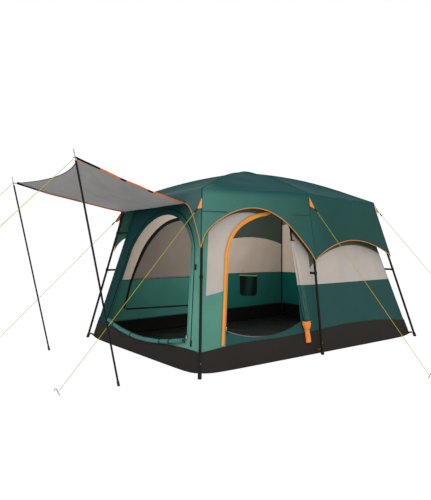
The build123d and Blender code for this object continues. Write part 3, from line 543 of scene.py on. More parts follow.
net = cloth_finish("dark insect net", srgb(58, 66, 60), 0.8, 380.0, 0.6, 0.003)
ring_top = np.array([middle_x, 0.0, 1.945])
rise = np.linspace(0, 1, 20)[:, None, None]
ceiling_parts = []
for bay in bays:
    a, b = (wall_seam(leg, wall_top) for leg in bays[bay])
    edge = a + (b - a) * np.linspace(0, 1, 30)[:, None]
    away = (edge - ring_top) * [1, 1, 0]
    ring = ring_top + 0.045 * away / np.linalg.norm(away, axis=1, keepdims=True)
    net_grid = edge[None] * (1 - rise) + ring[None] * rise
    net_grid[..., 2] -= 0.02 * np.sin(np.pi * rise[..., 0])
    ceiling_parts.append((net_grid, net_grid[..., :2]))
ceiling = thicken(built("ceiling_net", ceiling_parts, net), 0.001)
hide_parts("mesh_ceiling")


# Zips: black tapes round the side door and the window, a pale coil along the front door's sill, and seam
# tapes in the inner corners and along the back walls' bands. The side door's slider runs on a green tape
# in its front jamb, beside the black one.

def rail(path, half_width, half_height, normal, sides=10, capped=True):
    """A bar with an oval section carried along a path: half_width lies across the path, half_height
    along the normal. Its ends close to a point."""
    path = np.asarray(path, float)
    way = np.gradient(path, axis=0)
    way /= np.linalg.norm(way, axis=1, keepdims=True)
    normal = np.broadcast_to(np.asarray(normal, float), path.shape)
    side = np.cross(way, normal)
    side /= np.linalg.norm(side, axis=1, keepdims=True)
    up = np.cross(side, way)
    size = np.ones(len(path))
    half_width, half_height = (np.broadcast_to(half, size.shape).astype(float)
                               for half in (half_width, half_height))
    length = np.concatenate([[0], np.cumsum(np.linalg.norm(np.diff(path, axis=0), axis=1))])
    if capped:
        path, side, up, half_width, half_height, length, size = (
            np.concatenate([values[:1], values, values[-1:]])
            for values in (path, side, up, half_width, half_height, length, size))
        size[[0, -1]] = 0.0
    angle = np.linspace(0, 2 * np.pi, sides + 1)
    grid = path[:, None] + size[:, None, None] * (
        side[:, None] * (half_width[:, None] * np.cos(angle))[..., None]
        + up[:, None] * (half_height[:, None] * np.sin(angle))[..., None])
    flat = np.stack(np.broadcast_arrays(length[:, None], angle[None] * 0.01), -1)
    return grid, flat


def bars(name, grids, finish, body="tent"):
    """Bars and bands made as one piece, with its finish."""
    made = built(name, grids, finish, body=body, inside=None)
    return made


def on_path(bay, flat_path, out):
    """Flat places on a wall as points, moved off it by out; on a back wall they follow its cloth."""
    flat_path = np.asarray(flat_path, float)
    return (on_cloth if bay.startswith("back") else on_wall)(bay, flat_path[:, 0], flat_path[:, 1], out)


def evenly(flat_path, count):
    """A flat path again, with that many points the same distance apart."""
    flat_path = np.asarray(flat_path, float)
    length = np.concatenate([[0], np.cumsum(np.linalg.norm(np.diff(flat_path, axis=0), axis=1))])
    at = np.linspace(0, length[-1], count)
    return np.stack([np.interp(at, length, flat_path[:, k]) for k in range(flat_path.shape[1])], -1)


black_tape = cloth_finish("black zip tape", srgb(20, 20, 21), 0.7, 900.0, 0.2, 0.001)
teeth, tree, shader = finish_of("pale zip coil", srgb(150, 152, 150), 0.4)
coil = add(tree, "TexWave", {"Vector": add(tree, "TexCoord").outputs["UV"], "Scale": 55.0},
           bands_direction="X")
coiled = mixed(tree, coil.outputs["Fac"], srgb(70, 74, 74), srgb(172, 174, 170))
spot = place_on(tree)
# The coil is pale on the left part of the sill and dark green right of x = -0.95 to -0.75.
dark_right_part = add(tree, "MapRange", {0: spot["X"], 1: -0.95, 2: -0.75}).outputs[0]
tree.links.new(mixed(tree, dark_right_part, coiled, srgb(30, 56, 53)), shader.inputs["Base Color"])
up, head, _, sill = door_edge(**front_door)
side_up, side_head, side_down, _ = door_edge(**side_door, widen=0.055)
arc_zip = smooth([(-1.232, .339), (-1.212, .46), (-1.179, .678), (-1.108, .910), (-.983, 1.181),
                  (-.769, 1.401), (-.467, 1.504), (-.30, 1.525)], 70)
arc_half = np.interp(arc_zip[:, 1], (0.34, 0.75, 1.05), (0.011, 0.016, 0.023))
tapes = [*(("left", edge, 0.0035, 0.0045) for edge in (side_up, side_head, side_down)),
         ("back_left", arc_zip, -0.0065, arc_half),
         ("back_left", evenly([(-1.2, .33), (-.12, .303)], 40), -0.004, 0.010),
         ("back_left", evenly([(-1.40, .708), (-.1, .708)], 40), -0.006, 0.003),
         ("back_right", evenly([(-.09, .735), (1.43, .735)], 40), -0.003, 0.0025)]
tape_grids = [rail(on_path(bay, path, out), half, 0.0025, outward[bay]) for bay, path, out, half in tapes]
for leg in legs:
    heights = np.linspace(0.02, wall_top - 0.02, 40)
    inward = np.array([-legs[leg][0], -legs[leg][1], 0.0])
    tape_grids.append(rail(wall_seam(leg, heights) + 0.006 * inward, 0.008, 0.003, inward))
bars("zip_tapes", tape_grids, black_tape)


def jamb_tape(door, half_width):
    """The tape a slider runs on: up a door's first jamb, just inside its edge, and straight on over the
    wall above, where it tapers out."""
    jamb = door_edge(**door)[0]
    path = np.concatenate([jamb, jamb[-1] + (jamb[-1] - jamb[-2]) * np.arange(1, 5)[:, None]]) + [0.007, 0]
    taper = np.concatenate([np.ones(len(jamb)), (0.9, 0.7, 0.4, 0.1)])
    return rail(on_path(door["bay"], path, 0.0022), half_width * taper, 0.0025, outward[door["bay"]])


bars("side_jamb_zip", [jamb_tape(side_door, 0.006)], outer_looks["left"])
bars("sill_zip", [rail(on_path("front_left", sill, 0.002), 0.003, 0.0025, outward["front_left"])], teeth)


# Window net: the back left wall's opening is net to the right of its zip, from the green band up to the
# top of the arch, where the cream cloth is rolled away behind.

net_v, net_u = np.meshgrid(np.linspace(0, 1, 40), np.linspace(0, 1, 40), indexing="ij")
net_foot, net_top = 0.713, 1.525
net_z = net_foot + (net_top - net_foot) * net_v
order = np.argsort(arc_zip[:, 1])
net_left = np.interp(net_z, arc_zip[order, 1], arc_zip[order, 0])
net_along = net_left + (-0.11 - net_left) * net_u
window_grid = on_cloth("back_left", net_along, net_z, -0.0035)
window_look = cloth_finish("grey-brown window net", srgb(116, 107, 97), 0.8, 380.0, 0.6, 0.003)
window = thicken(built("window_net", [(window_grid, np.stack([net_along, net_z], -1))], window_look), 0.0008)


# Zip sliders: nickel-plated castings on the tapes, from the CAD model.

nickel = hard_finish("nickel plate", srgb(188, 186, 180), srgb(120, 116, 108), 0.25, 700.0, 0.0002,
                     Metallic=1.0)
dress(nickel, "front_zip_slider", "side_zip_slider")


# Zip pulls: a loop of black cord through each slider with a moulded grip at its end. They hang on the
# sliders and go with them.

for zip_name, bay in (("front_zip", "front_left"), ("side_zip", "left")):
    corners = np.array([v.co for v in nodes[zip_name + "_slider"].data.vertices])
    top = corners.mean(0) + 0.009 * np.array(outward[bay])
    hang = np.array([0, 0, -0.012]) + 0.004 * np.array(outward[bay])
    cord_path = top + np.linspace(0, 2.2, 12)[:, None] * hang
    grip_path = top + np.linspace(2.0, 4.0, 12)[:, None] * hang
    pull = [rail(cord_path, 0.0018, 0.0018, outward[bay], 8), rail(grip_path, 0.0045, 0.003, outward[bay])]
    bars(zip_name + "_pull", pull, black_tape, zip_name)


# Storm flap: a bright orange strip of folded polyester, sewn beside the front door's zip from the skirt
# up the left jamb and round the head to its top, where it tapers out. The slider runs on a tape beside it.

flap_cloth = cloth_finish("orange flap cloth", srgb(246, 158, 66), 0.55, 700.0, 0.8, 0.004)
below_sill = (up[0, 0] - (up[-1, 0] - up[0, 0]) * 0.20, skirt_top)
flap_path = evenly(np.concatenate([[below_sill], up, head[1:28]]), 120)
way = np.gradient(flap_path, axis=0)
beside_zip = np.stack([-way[:, 1], way[:, 0]], -1) / np.linalg.norm(way, axis=1, keepdims=True)
flap_path = flap_path + 0.019 * beside_zip
run = np.linspace(0, 1, 120)
flap_half = np.interp(run, (0, 0.55, 0.85, 0.96, 1), (0.016, 0.018, 0.023, 0.021, 0.006))
flap_half = flap_half * (1 + 0.04 * np.sin(run * 40))
flap_rail = rail(on_path("front_left", flap_path, 0.007), flap_half, 0.006, outward["front_left"], 14)
flap = bars("storm_flap", [flap_rail], flap_cloth)
bars("front_jamb_zip", [jamb_tape(front_door, 0.0045)], flap_cloth)
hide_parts("front_zip_flap")


# Gathered front door: its cream and green cloth drawn together at the right jamb, hung from a toggle
# near the top, and stuffed into a bright elastic sleeve at the bottom.

def gathered(heights, centre_x, half_x, half_y, folds, depth, seed, count=120):
    """Cloth drawn into upright folds: an oval at each height, its edge pushed in and out by waves that
    wander from height to height."""
    dice = np.random.default_rng(seed)
    turn = np.linspace(0.03, 2 * np.pi - 0.03, count)[None]
    z = heights[:, None]
    wander = 0.9 * np.sin(7 * z + dice.uniform(0, 6)) + 0.5 * np.sin(17 * z + dice.uniform(0, 6))
    wave = np.sin(folds * turn + wander) + 0.45 * np.sin((2 * folds + 1) * turn - 1.7 * wander)
    reach = 1 + depth * (wave - 1.2) / 1.45
    jamb = on_wall("front_left", from_seam("front_left", -front_door["second"], heights), heights)
    x = jamb[:, :1] + centre_x[:, None] + half_x[:, None] * reach * np.cos(turn)
    y = jamb[:, 1:2] - 0.004 - half_y[:, None] + half_y[:, None] * reach * np.sin(turn)
    return np.stack(np.broadcast_arrays(x, y, z), -1), np.stack(np.broadcast_arrays(turn * 0.04, z), -1)


heights = np.linspace(skirt_top + 0.970, skirt_top + 0.140, 90)
stops = skirt_top + np.array([0.140, 0.308, 0.518, 0.748, 0.970])
lean = np.interp(heights, stops, [0.060, 0.046, 0.018, 0.0, -0.020])
half = np.interp(heights, stops, [0.034, 0.036, 0.040, 0.030, 0.012])
# The gathered door cloth carries the same painted corner light and painted shade as the walls.
bundle_look = wall_finish("gathered door cloth", 0.722, 0.0, 1.0, unseen, 0.1,
                          greens=(green_lit_near_corner, srgb(54, 97, 93)))
bundle = built("door_gathers", [gathered(heights, lean, half, half * 0.7, 5, 0.30, 5)], bundle_look,
               inside=(-0.27, -1.0, 0.7))
thicken(bundle, 0.0015)
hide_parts("gathered_front_door")
heights = np.linspace(skirt_top + 0.136, skirt_top - 0.080, 60)
stops = skirt_top + np.array([-0.080, 0.020, 0.050, 0.074, 0.106, 0.136])
lean = np.interp(heights, stops, [0.064, 0.060, 0.056, 0.052, 0.048, 0.048])
half = np.interp(heights, stops, [0.034, 0.032, 0.031, 0.046, 0.058, 0.056])
deep = np.interp(heights, stops, [0.016, 0.017, 0.018, 0.024, 0.028, 0.026])
half = half * (1 + 0.05 * np.sin(2 * np.pi * heights / 0.024))
sleeve_cloth = cloth_finish("deep orange sleeve cloth", srgb(252, 152, 70), 0.6, 700.0, 0.8, 0.004)
cuff = built("door_sleeve", [gathered(heights, lean, half, deep, 9, 0.16, 8)], sleeve_cloth,
             inside=(-0.24, -1.05, 0.3))
thicken(cuff, 0.0015)


# Toggle: a black webbing loop with a moulded bar that holds the gathered door's top, and two small snap
# buckles on the side door's front edge.

loop_path = on_path("front_left", evenly([(-0.322, 1.315), (-0.330, 1.250), (-0.326, 1.178)], 20), 0.024)
bar_path = on_path("front_left", evenly([(-0.352, 1.186), (-0.300, 1.182)], 12), 0.030)
toggle_grids = [rail(loop_path, 0.013, 0.0015, outward["front_left"]),
                rail(bar_path, 0.006, 0.006, outward["front_left"], 12)]
for place, height in ((-0.787, 0.923), (-0.938, 0.245)):
    lean = evenly([(place - 0.006, height - 0.026), (place + 0.006, height + 0.026)], 14)
    toggle_grids.append(rail(on_path("left", lean, 0.006), 0.011, 0.006, outward["left"], 12))
bars("toggle_and_buckles", toggle_grids, nylon)


# Side door roll: the side door's cloth rolled down on its sill, held by four short ties, sagging
# in the middle. The roll's outer turn and its loose edge show.

roll_gap, roll_reach = 0.030, 0.0212
roll_ends = [from_seam("left", side_door["first"], side_door["sill_z"]) + roll_gap,
             from_seam("left", -side_door["second"], side_door["sill_z"]) - roll_gap]
run = np.linspace(0, 1, 160)
roll_y = roll_ends[0] + (roll_ends[1] - roll_ends[0]) * run
roll_z = 0.262 - 0.092 * 4 * run * (1 - run)
roll_path = np.stack([wall_seam("front_left", roll_z)[:, 0] - 0.025, roll_y, roll_z], -1)
ties = np.array([0.14, 0.245, 0.62, 0.90])
pinch = 1 - 0.16 * np.exp(-((run[:, None] - ties) / 0.012) ** 2).sum(1)
turn = np.linspace(0, 2 * np.pi * 2.6, 110)
reach = (roll_reach - 0.0034 * turn / (2 * np.pi))[None] * pinch[:, None]
way = np.gradient(roll_path, axis=0)
way /= np.linalg.norm(way, axis=1, keepdims=True)
side = np.cross(way, [0, 0, 1.0])
side /= np.linalg.norm(side, axis=1, keepdims=True)
up_way = np.cross(side, way)
swell = 1 + 0.09 * ripple(np.stack(np.broadcast_arrays(
    run[:, None] * 1.7, 0.12 * np.cos(turn)[None], 0.12 * np.sin(turn)[None]), -1), 0.16, 31)
reach = np.minimum(reach * swell, 0.0235)
roll_grid = roll_path[:, None] + side[:, None] * (reach * np.cos(turn - 0.6))[..., None] + up_way[:, None] * (
    reach * np.sin(turn - 0.6))[..., None]
roll_flat = np.stack(np.broadcast_arrays(run[:, None] * 1.7, turn[None] * 0.02), -1)
rolled_cloth = cloth_finish("rolled door cloth", srgb(78, 134, 129), 0.5, 700.0, 1.6, 0.006)
roll = thicken(bars("side_roll", [(roll_grid, roll_flat)], rolled_cloth), 0.0012)
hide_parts("side_door_roll")
hoop = np.linspace(0, 2 * np.pi, 33)
tie_grids = []
for place in ties:
    k = int(place * (len(run) - 1))
    loop = roll_path[k] + roll_reach * (side[k] * np.cos(hoop)[:, None] + up_way[k] * np.sin(hoop)[:, None])
    tie_grids.append(rail(loop, 0.006, 0.0012, loop - roll_path[k], 8, False))
bars("roll_ties", tie_grids, black_tape)


# Foot straps: at each foot a brown webbing strap ties the groundsheet's corner to the leg. A brass rivet
# through the leg keeps the foot on.

brass = hard_finish("brass", srgb(178, 142, 72), srgb(120, 100, 60), 0.35, 700.0, 0.0002, Metallic=1.0)
foot_half_x, foot_half_y, shoulder_z = 1.653, 1.205, 1.622
leg_lean_x, leg_corner_lean, leg_middle_lean = 0.315, 0.401, 0.186


def leg_line(leg, z):
    """A leg's middle at height z: a straight line that leans in from its foot."""
    side_x, side_y = legs[leg]
    z = np.asarray(z, float)
    rise = z / shoulder_z
    x = side_x * (foot_half_x - leg_lean_x * rise) if side_x else np.full(z.shape, middle_x)
    y = side_y * (foot_half_y - (leg_corner_lean if side_x else leg_middle_lean) * rise)
    return np.stack([x, y, z], -1)


strap_grids, rivet_grids = [], []
for leg, (side_x, side_y) in legs.items():
    foot = leg_line(leg, 0.0)
    way = np.array([side_x, side_y, 0.0]) / np.hypot(side_x, side_y)
    up_leg = (leg_line(leg, shoulder_z) - foot) / shoulder_z
    tie = wall_seam(leg, 0.040) + 0.006 * way
    inner_tie = tie + (foot + up_leg * 0.050 - way * 0.018 - tie) * np.linspace(0, 1, 12)[:, None]
    strap_grids.append(rail(inner_tie, 0.011, 0.0012, np.cross(way, (0, 0, 1)), 8))
    rivet = foot + up_leg * 0.12
    rivet_path = rivet + np.array([0, 0.0148, 0]) * np.linspace(-1, 1, 8)[:, None]
    rivet_grids.append(rail(rivet_path, 0.005, 0.005, (1, 0, 0), 12))
brown_webbing = cloth_finish("brown webbing", srgb(132, 84, 50), 0.7, 900.0, 0.3, 0.001)
bars("foot_straps", strap_grids, brown_webbing)
bars("foot_rivets", rivet_grids, brass)


# Wall pocket: a flat black net bag with a pale bound mouth, sewn to the inside of the back wall.

pocket_u, pocket_v = np.meshgrid(np.linspace(0, 1, 40), np.linspace(0, 1, 60) ** 1.5)
pocket_wide, pocket_high, corner_round = 0.330, 0.315, 0.055
lift = np.clip(pocket_high * pocket_v, 0, corner_round)
round_foot = (corner_round - np.sqrt(corner_round ** 2 - (corner_round - lift) ** 2)) / pocket_wide
across_pocket = pocket_u * (1 - 2 * round_foot) + round_foot
pocket_x = 0.690 - 0.061 * pocket_v + (pocket_wide + 0.015 * pocket_v) * across_pocket
pocket_z = 0.392 + pocket_high * pocket_v - 0.018 * pocket_u
belly = 0.010 * np.sin(np.pi * pocket_u) ** 0.5 * np.sin(np.pi * (0.1 + 0.8 * pocket_v))
pocket_grid = on_cloth("back_right", pocket_x, pocket_z, -0.004 - belly)
net_black = srgb(13, 18, 16)
pocket_net, tree, shader = finish_of("black pocket net", net_black, 0.85, Specular_IOR_Level=0.1)
spot = place_on(tree)
mouth = calc(tree, "GREATER_THAN", calc(tree, "MULTIPLY_ADD", spot["X"], 0.055, spot["Z"]), 0.733)
off_middle = calc(tree, "ABSOLUTE", calc(tree, "SUBTRACT", spot["X"], 0.83))
folded = add(tree, "MapRange", {0: off_middle, 1: 0.02, 2: 0.09}).outputs[0]
thin_net = mixed(tree, folded, srgb(18, 50, 44), net_black)
weave_into(tree, shader, mixed(tree, mouth, thin_net, srgb(150, 150, 140)), 0.85, 260.0)
pocket = thicken(built("net_pocket", [(pocket_grid, np.stack([pocket_x, pocket_z], -1))], pocket_net,
                       inside=(0.8, 2.0, 0.5)), 0.0014)
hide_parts("wall_pocket")


# Wall clips: black nylon snap hooks on short straps from the walls' seams, two to each leg.

dress(nylon, "wall_clips")


# Rain fly: dark green coated polyester, six roof panels and their valances sewn along the lines of the
# poles, pulled tight over the elbows. Its hem is scalloped between the legs.

eave_z, hub_z, pole_rise = 1.646, 2.014, 0.068
fly_gap, corner_draw = 0.022, 0.026


def fly_edge(leg, z, drawn=True):
    """Where the fly passes a leg at height z: the leg's line, moved out over it. The guy draws the front
    middle corner a little to the left."""
    point = leg_line(leg, z) + fly_gap * np.array([*legs[leg], 0])
    if drawn and leg == "front_middle":
        point[..., 0] -= corner_draw * np.clip((np.asarray(z) - 1.0) / 0.62, 0, 1)
    return point


def eave_corner(leg):
    """The fly's corner over an elbow, which holds it up a little."""
    lift = {"front_left": 0.022, "front_middle": 0.036, "front_right": 0.040, "back_right": 0.040,
            "back_middle": 0.018, "back_left": 0.012}[leg]
    return fly_edge(leg, eave_z) + np.array([0, 0, lift])


def fly_ridge(leg, share):
    """The fly's seam over a roof pole: the pole's arc, raised over its thickness, with a bump at the hub."""
    start = fly_edge(leg, shoulder_z) - fly_gap * np.array([*legs[leg], 0])
    chord = np.array([middle_x, 0.0, hub_z]) - start
    length, level = np.linalg.norm(chord), chord * [1, 1, 0] / np.linalg.norm(chord[:2])
    square = np.array([0, 0, 1]) * np.linalg.norm(chord[:2]) / length - level * chord[2] / length
    radius = (length ** 2 / 4 + pole_rise ** 2) / (2 * pole_rise)
    bow = np.sqrt(radius ** 2 - ((share - 0.5) * length) ** 2) - (radius - pole_rise)
    point = start + chord * share[..., None] + square * bow[..., None]
    near = np.exp(-share / 0.20)[..., None]
    point += (eave_corner(leg) - start) * near + np.array([0, 0, 0.013]) * (1 - near)
    point[..., 2] += (0.020 if leg == "front_right" else 0.0) * np.sin(np.pi * share)
    from_hub = (1 - share) * np.linalg.norm(chord[:2])
    point[..., 2] += 0.022 * np.exp(-(from_hub / 0.115) ** 4)
    point[..., 0] -= 0.032 * np.exp(-(from_hub / 0.25) ** 2)
    return point


def scallop(u, first, second, crest_drop, roundness, change):
    """A hem's height: a straight line between its two legs with a rounded arch on it."""
    rise = eave_z - crest_drop - (first + second) / 2
    return first + (second - first) * u + rise * np.maximum(np.sin(np.pi * u), 0) ** (roundness + change * u)


awning_z, awning_from_leg = 1.540, 0.286
side_width = 2 * fly_edge("back_left", awning_z)[1]
rise_end = awning_from_leg / side_width
hem_left, hem_middle, hem_right = 1.106, 0.966, 1.001


def side_hem(u):
    """The left hem's height: up to the awning's seam in a quarter wave, then level."""
    return hem_left + (awning_z - hem_left) * np.sin(np.pi / 2 * np.clip(u / rise_end, 0, 1)) ** 0.9


fly_round = [
    ("front_left", "front_middle", lambda u: scallop(u, hem_left, hem_middle, 0.151, 0.55, 0.30)),
    ("front_middle", "front_right", lambda u: scallop(u, hem_middle, hem_right, 0.451, 0.72, 0.05)),
    ("front_right", "back_right", lambda u: scallop(u, hem_right, hem_right, 0.345, 0.62, 0.0)),
    ("back_right", "back_middle", lambda u: scallop(1 - u, hem_middle, hem_right, 0.451, 0.72, 0.05)),
    ("back_middle", "back_left", lambda u: scallop(1 - u, 1.060, hem_middle, 0.290, 0.60, 0.25)),
    ("back_left", "front_left", lambda u: side_hem(1 - u))]
bay_columns = 60
u = 0.5 - 0.5 * np.cos(np.pi * np.arange(bay_columns) / bay_columns)
middle = np.sin(np.pi * u)
fold = 0.014 + 0.040 * middle
share = 1 - np.linspace(0, 1, 34)[:, None] * (1 - 0.010 - 0.026 * middle)
bend = np.linspace(0, 1, 11)[1:-1, None, None]
drop = np.linspace(0, 1, 30)[:, None]
fly_bays = []
for first, second, hem in fly_round:
    a, b = fly_ridge(first, share), fly_ridge(second, share)
    roof = a + (b - a) * u[None, :, None]
    roof[..., 2] -= 0.030 * (4 * u * (1 - u))[None] * np.sin(np.pi * share) ** 0.7
    shoulder = eave_corner(first) + (eave_corner(second) - eave_corner(first)) * u[:, None]
    z = (eave_z - fold) + (hem(u)[None] - (eave_z - fold)) * drop
    hanging = fly_edge(first, z) + (fly_edge(second, z) - fly_edge(first, z)) * u[None, :, None]
    if second == "back_left":
        beside_leg = np.clip((u - 0.86) / 0.14, 0, 1) ** 2 * np.clip((awning_z + 0.02 - z) / 0.06, 0, 1)
        hanging[..., 0] += 0.050 * beside_leg
        hanging[..., 1] -= 0.012 * beside_leg
    turned = (1 - bend) ** 2 * roof[-1] + 2 * bend * (1 - bend) * shoulder + bend ** 2 * hanging[0]
    fly_bays.append(np.concatenate([roof, turned, hanging]))
fly_grid = np.concatenate(fly_bays, 1)
columns = fly_grid.shape[1]
from_leg = np.minimum(np.arange(columns) % bay_columns, -np.arange(columns) % bay_columns)
from_awning_corner = abs(np.arange(columns) - 5 * bay_columns)
soften = np.where((from_leg < 7) & (from_awning_corner > 7), 0.5, 0.0)[None, :, None]
shoulder_row = 40
roof_rows = np.arange(fly_grid.shape[0])[:, None, None] < shoulder_row
soften = np.where(roof_rows, soften, soften * np.array([1.0, 1.0, 0.0]))
for _ in range(8):
    even = (np.roll(fly_grid, 1, 1) + np.roll(fly_grid, -1, 1)) / 2
    fly_grid = fly_grid + (even - fly_grid) * soften
span = np.gradient(fly_grid, axis=1)
fall = np.gradient(fly_grid, axis=0)
normal = np.cross(span, fall)
normal /= np.maximum(np.linalg.norm(normal, axis=-1, keepdims=True), 1e-9)
normal *= np.sign((normal * (fly_grid - [-0.1, 0, 1.0])).sum())
tight = np.minimum(from_leg / 12, 1)[None]
fly_grid = fly_grid + normal * (0.0035 * tight * ripple(fly_grid, 0.33, 41))[..., None]
run = np.concatenate([[0], np.cumsum(np.linalg.norm(np.diff(fly_grid[shoulder_row], axis=0), axis=1))])
row_steps = np.linalg.norm(np.diff(fly_grid, axis=0), axis=2)
down_run = np.concatenate([np.zeros((1, columns)), np.cumsum(row_steps, 0)])
fly_flat = np.stack(np.broadcast_arrays(run[None], down_run), -1)
closed = np.concatenate([fly_grid, fly_grid[:, :1]], 1)
closed_flat = np.concatenate([fly_flat, fly_flat[:, :1] + [0.01, 0]], 1)
fly_green = srgb(24, 78, 79)
fly_cloth, tree, shader = finish_of("green fly cloth", fly_green, 0.6, Specular_IOR_Level=0.04)
# Painted light on the fly: below the eave the valances are lit near the front left corner and turn to painted
# shade away from it; above the eave the roof keeps the plain, darker fly green.
painted_corner_light = grouped(tree, corner_light_paint, {"Near": srgb(80, 134, 122), "Far": srgb(40, 80, 75), "Start": 0.12,
                               "End": 1.65})
spot = place_on(tree)
roofing = add(tree, "MapRange", {0: spot["Z"], 1: 1.60, 2: 1.70}, interpolation_type="SMOOTHSTEP").outputs[0]
# Painted light: the left valance behind the front left corner is painted a lighter grey-teal.
leftmost = add(tree, "MapRange", {0: spot["X"], 1: -1.10, 2: -1.35}).outputs[0]
behind_corner = add(tree, "MapRange", {0: spot["Y"], 1: -0.85, 2: -0.79}).outputs[0]
greens = mixed(tree, roofing, painted_corner_light.outputs["Colour"], fly_green)
left_valance_painted_light = calc(tree, "MULTIPLY", leftmost, behind_corner)
weave_into(tree, shader, mixed(tree, left_valance_painted_light, greens, srgb(72, 106, 107)), 0.6, 700.0, 1.0, 0.006)
fly_lining = cloth_finish("green fly lining", srgb(74, 130, 112), 0.7, 700.0, 0.6, 0.005)
fly = thicken(built("fly", [(closed, closed_flat)], fly_cloth, fly_lining), 0.0012, 1)
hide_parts("fly_roof_front", "fly_roof_back", "fly_roof_left", "fly_roof_right", "fly_crown",
            "valance_front", "valance_back", "valance_left", "valance_right")


# Hem piping and seams: an orange cord folded into the binding of the hem all round, except where the
# awning is sewn on, and flat-felled seams over the poles and across the front left valance.

piping_cloth = cloth_finish("orange piping", srgb(226, 146, 74), 0.5, 900.0, 0.3, 0.001)
hem_line = fly_grid[-1]
left_start = 5 * bay_columns
front_part = np.nonzero(1 - u <= rise_end)[0] + left_start
long_hem = hem_line[np.concatenate([front_part, np.arange(left_start)])]
felled = [rail(closed[3:, k * bay_columns] + 0.0015 * normal[3:, k * bay_columns], 0.007, 0.0012,
               normal[3:, k * bay_columns], 8) for k in range(6)]
bars("hem_piping", [rail(long_hem, 0.0044, 0.0044, (0, 0, 1))], piping_cloth)
seam_z = 1.445
seam_left, seam_right = fly_edge("front_left", seam_z), fly_edge("front_middle", seam_z)
for reach_a, reach_b in ((0.004, 0.215), (0.665, 0.996)):
    level_seam = seam_left + (seam_right - seam_left) * np.linspace(reach_a, reach_b, 40)[:, None]
    felled.append(rail(level_seam + [0, -0.002, 0], 0.004, 0.0012, (0, -1, 0), 8))
seam_tape = cloth_finish("green seam tape", srgb(36, 76, 74), 0.6, 900.0, 0.2, 0.001)
bars("fly_seams", felled, seam_tape)


# Guy tabs: orange cloth triangles sewn over the shoulders, doubled. Four of them hold a guy at the tip.

peg_lean, peg_stem = np.radians(25), 0.026
tab_long, tab_half, tip_half = 0.066, 0.050, 0.006


def peg_hold(root, peg):
    """Where a guy from a root meets its peg: up the stem, which leans away from the tent."""
    away = np.array([peg[0] - root[0], peg[1] - root[1], 0.0])
    away /= np.linalg.norm(away)
    return np.array([*peg, 0.0]) + peg_stem * (away * np.sin(peg_lean) + [0, 0, np.cos(peg_lean)])


def tab_line(leg):
    """A tab's root on the seam over a leg, its guy's end and the way between them; a tab without a guy
    points straight out and down."""
    side_x, side_y = legs[leg]
    drop = {"front_left": 0.102, "back_left": 0.152, "front_middle": 0.047,
            "back_middle": 0.047}.get(leg, 0.014)
    root = fly_edge(leg, shoulder_z - drop, False) + np.array([side_x, side_y, 0]) * 0.006
    peg = {"front_left": (-2.745, -0.937), "front_middle": (middle_x, -2.350), "front_right": (1.674, -2.091),
           "back_left": (-2.923, 0.789)}.get(leg, (root[0] + side_x * root[2], root[1] + side_y * root[2]))
    end = peg_hold(root, peg)
    return root, end, (end - root) / np.linalg.norm(end - root)


tab_grids = []
for leg in legs:
    root, end, way = tab_line(leg)
    up_leg = fly_edge(leg, shoulder_z) - fly_edge(leg, 0.0)
    up_leg /= np.linalg.norm(up_leg)
    beside = np.cross(way, up_leg)
    inner = -0.55 if leg == "back_left" else -0.10
    run, high = np.meshgrid(np.linspace(inner, 1, 20), np.linspace(-1, 1, 15), indexing="ij")
    half = tab_half + (tip_half - tab_half) * np.clip(run, 0, 1)
    if leg == "front_middle":
        root = root + np.array([-corner_draw, 0, 0.018]) * np.clip(1 - run, 0, 1)[..., None]
    curl = 0.004 * np.sin(3 * high) * run
    tab_grids.append((root + run[..., None] * way * tab_long + (high * half)[..., None] * up_leg
                      + curl[..., None] * beside, np.stack([run * tab_long, high * half], -1)))
tabs = thicken(built("corner_tabs", tab_grids, flap_cloth), 0.002)
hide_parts("guy_tabs")


# Awning: one sheet sewn to the left hem and held up at two corners, green above and silver-grey below.
# Its outer edge is cut hollow so that it pulls tight, and its sides are bound in orange; black tape stands
# for the stretches where the binding twists into shade, painted shade.

ring_centre = {"front": np.array([-2.64840, -1.00313, 1.77676]),
               "back": np.array([-2.64840, 0.73313, 1.77676])}
pole_up = {"front": np.array([-0.19984, -0.010547, 0.979772]),
           "back": np.array([-0.19984, 0.010547, 0.979772])}
share, along = np.meshgrid(np.linspace(0, 1, 70), np.linspace(0, 1, 60), indexing="ij")
inner_front, inner_back = fly_edge("front_left", awning_z), fly_edge("back_left", awning_z)
sewn_front, sewn_back = inner_front[1] + awning_from_leg, inner_back[1] - 0.120
inner_y = sewn_front + (sewn_back - sewn_front) * share
near = np.stack([np.full_like(share, inner_front[0] - 0.0005), inner_y, np.full_like(share, awning_z)], -1)
ring_to_ring = ring_centre["back"] - ring_centre["front"]
inset = 0.030 / ring_to_ring[1]
far = ring_centre["front"] + ring_to_ring * (inset + share * (1 - 2 * inset))[..., None]
bow = 4 * share * (1 - share)
far = far + np.stack([0.030 + 0.130 * bow, np.zeros_like(bow), -0.020 * bow], -1)
awning_grid = near + (far - near) * along[..., None]
awning_grid[..., 2] -= (0.018 + 0.030 * np.sin(np.pi * share)) * 4 * along * (1 - along)
awning_grid[..., 2] += 0.005 * np.sin(np.pi * along) * ripple(awning_grid * [0.35, 1, 1], 0.22, 51)
for from_edge, depth in ((share, 0.016), (1 - share, 0.010)):
    reach = np.hypot(from_edge, 1 - along)
    fan = np.sin(12 * np.arctan2(from_edge, np.maximum(1 - along, 1e-6)))
    near_corner = np.exp(-reach / 0.45) * reach / (reach + 0.10) * np.sin(np.pi * share) ** 0.5
    awning_grid[..., 2] += depth * fan * near_corner
awning_top = cloth_finish("green awning top", fly_green, 0.7, 700.0, 0.4, 0.002, gloss=0.04)
awning_grey = srgb(162, 160, 159)
awning_under, tree, shader = finish_of("silver-grey awning underside", awning_grey, 0.55,
                                       Specular_IOR_Level=0.1)
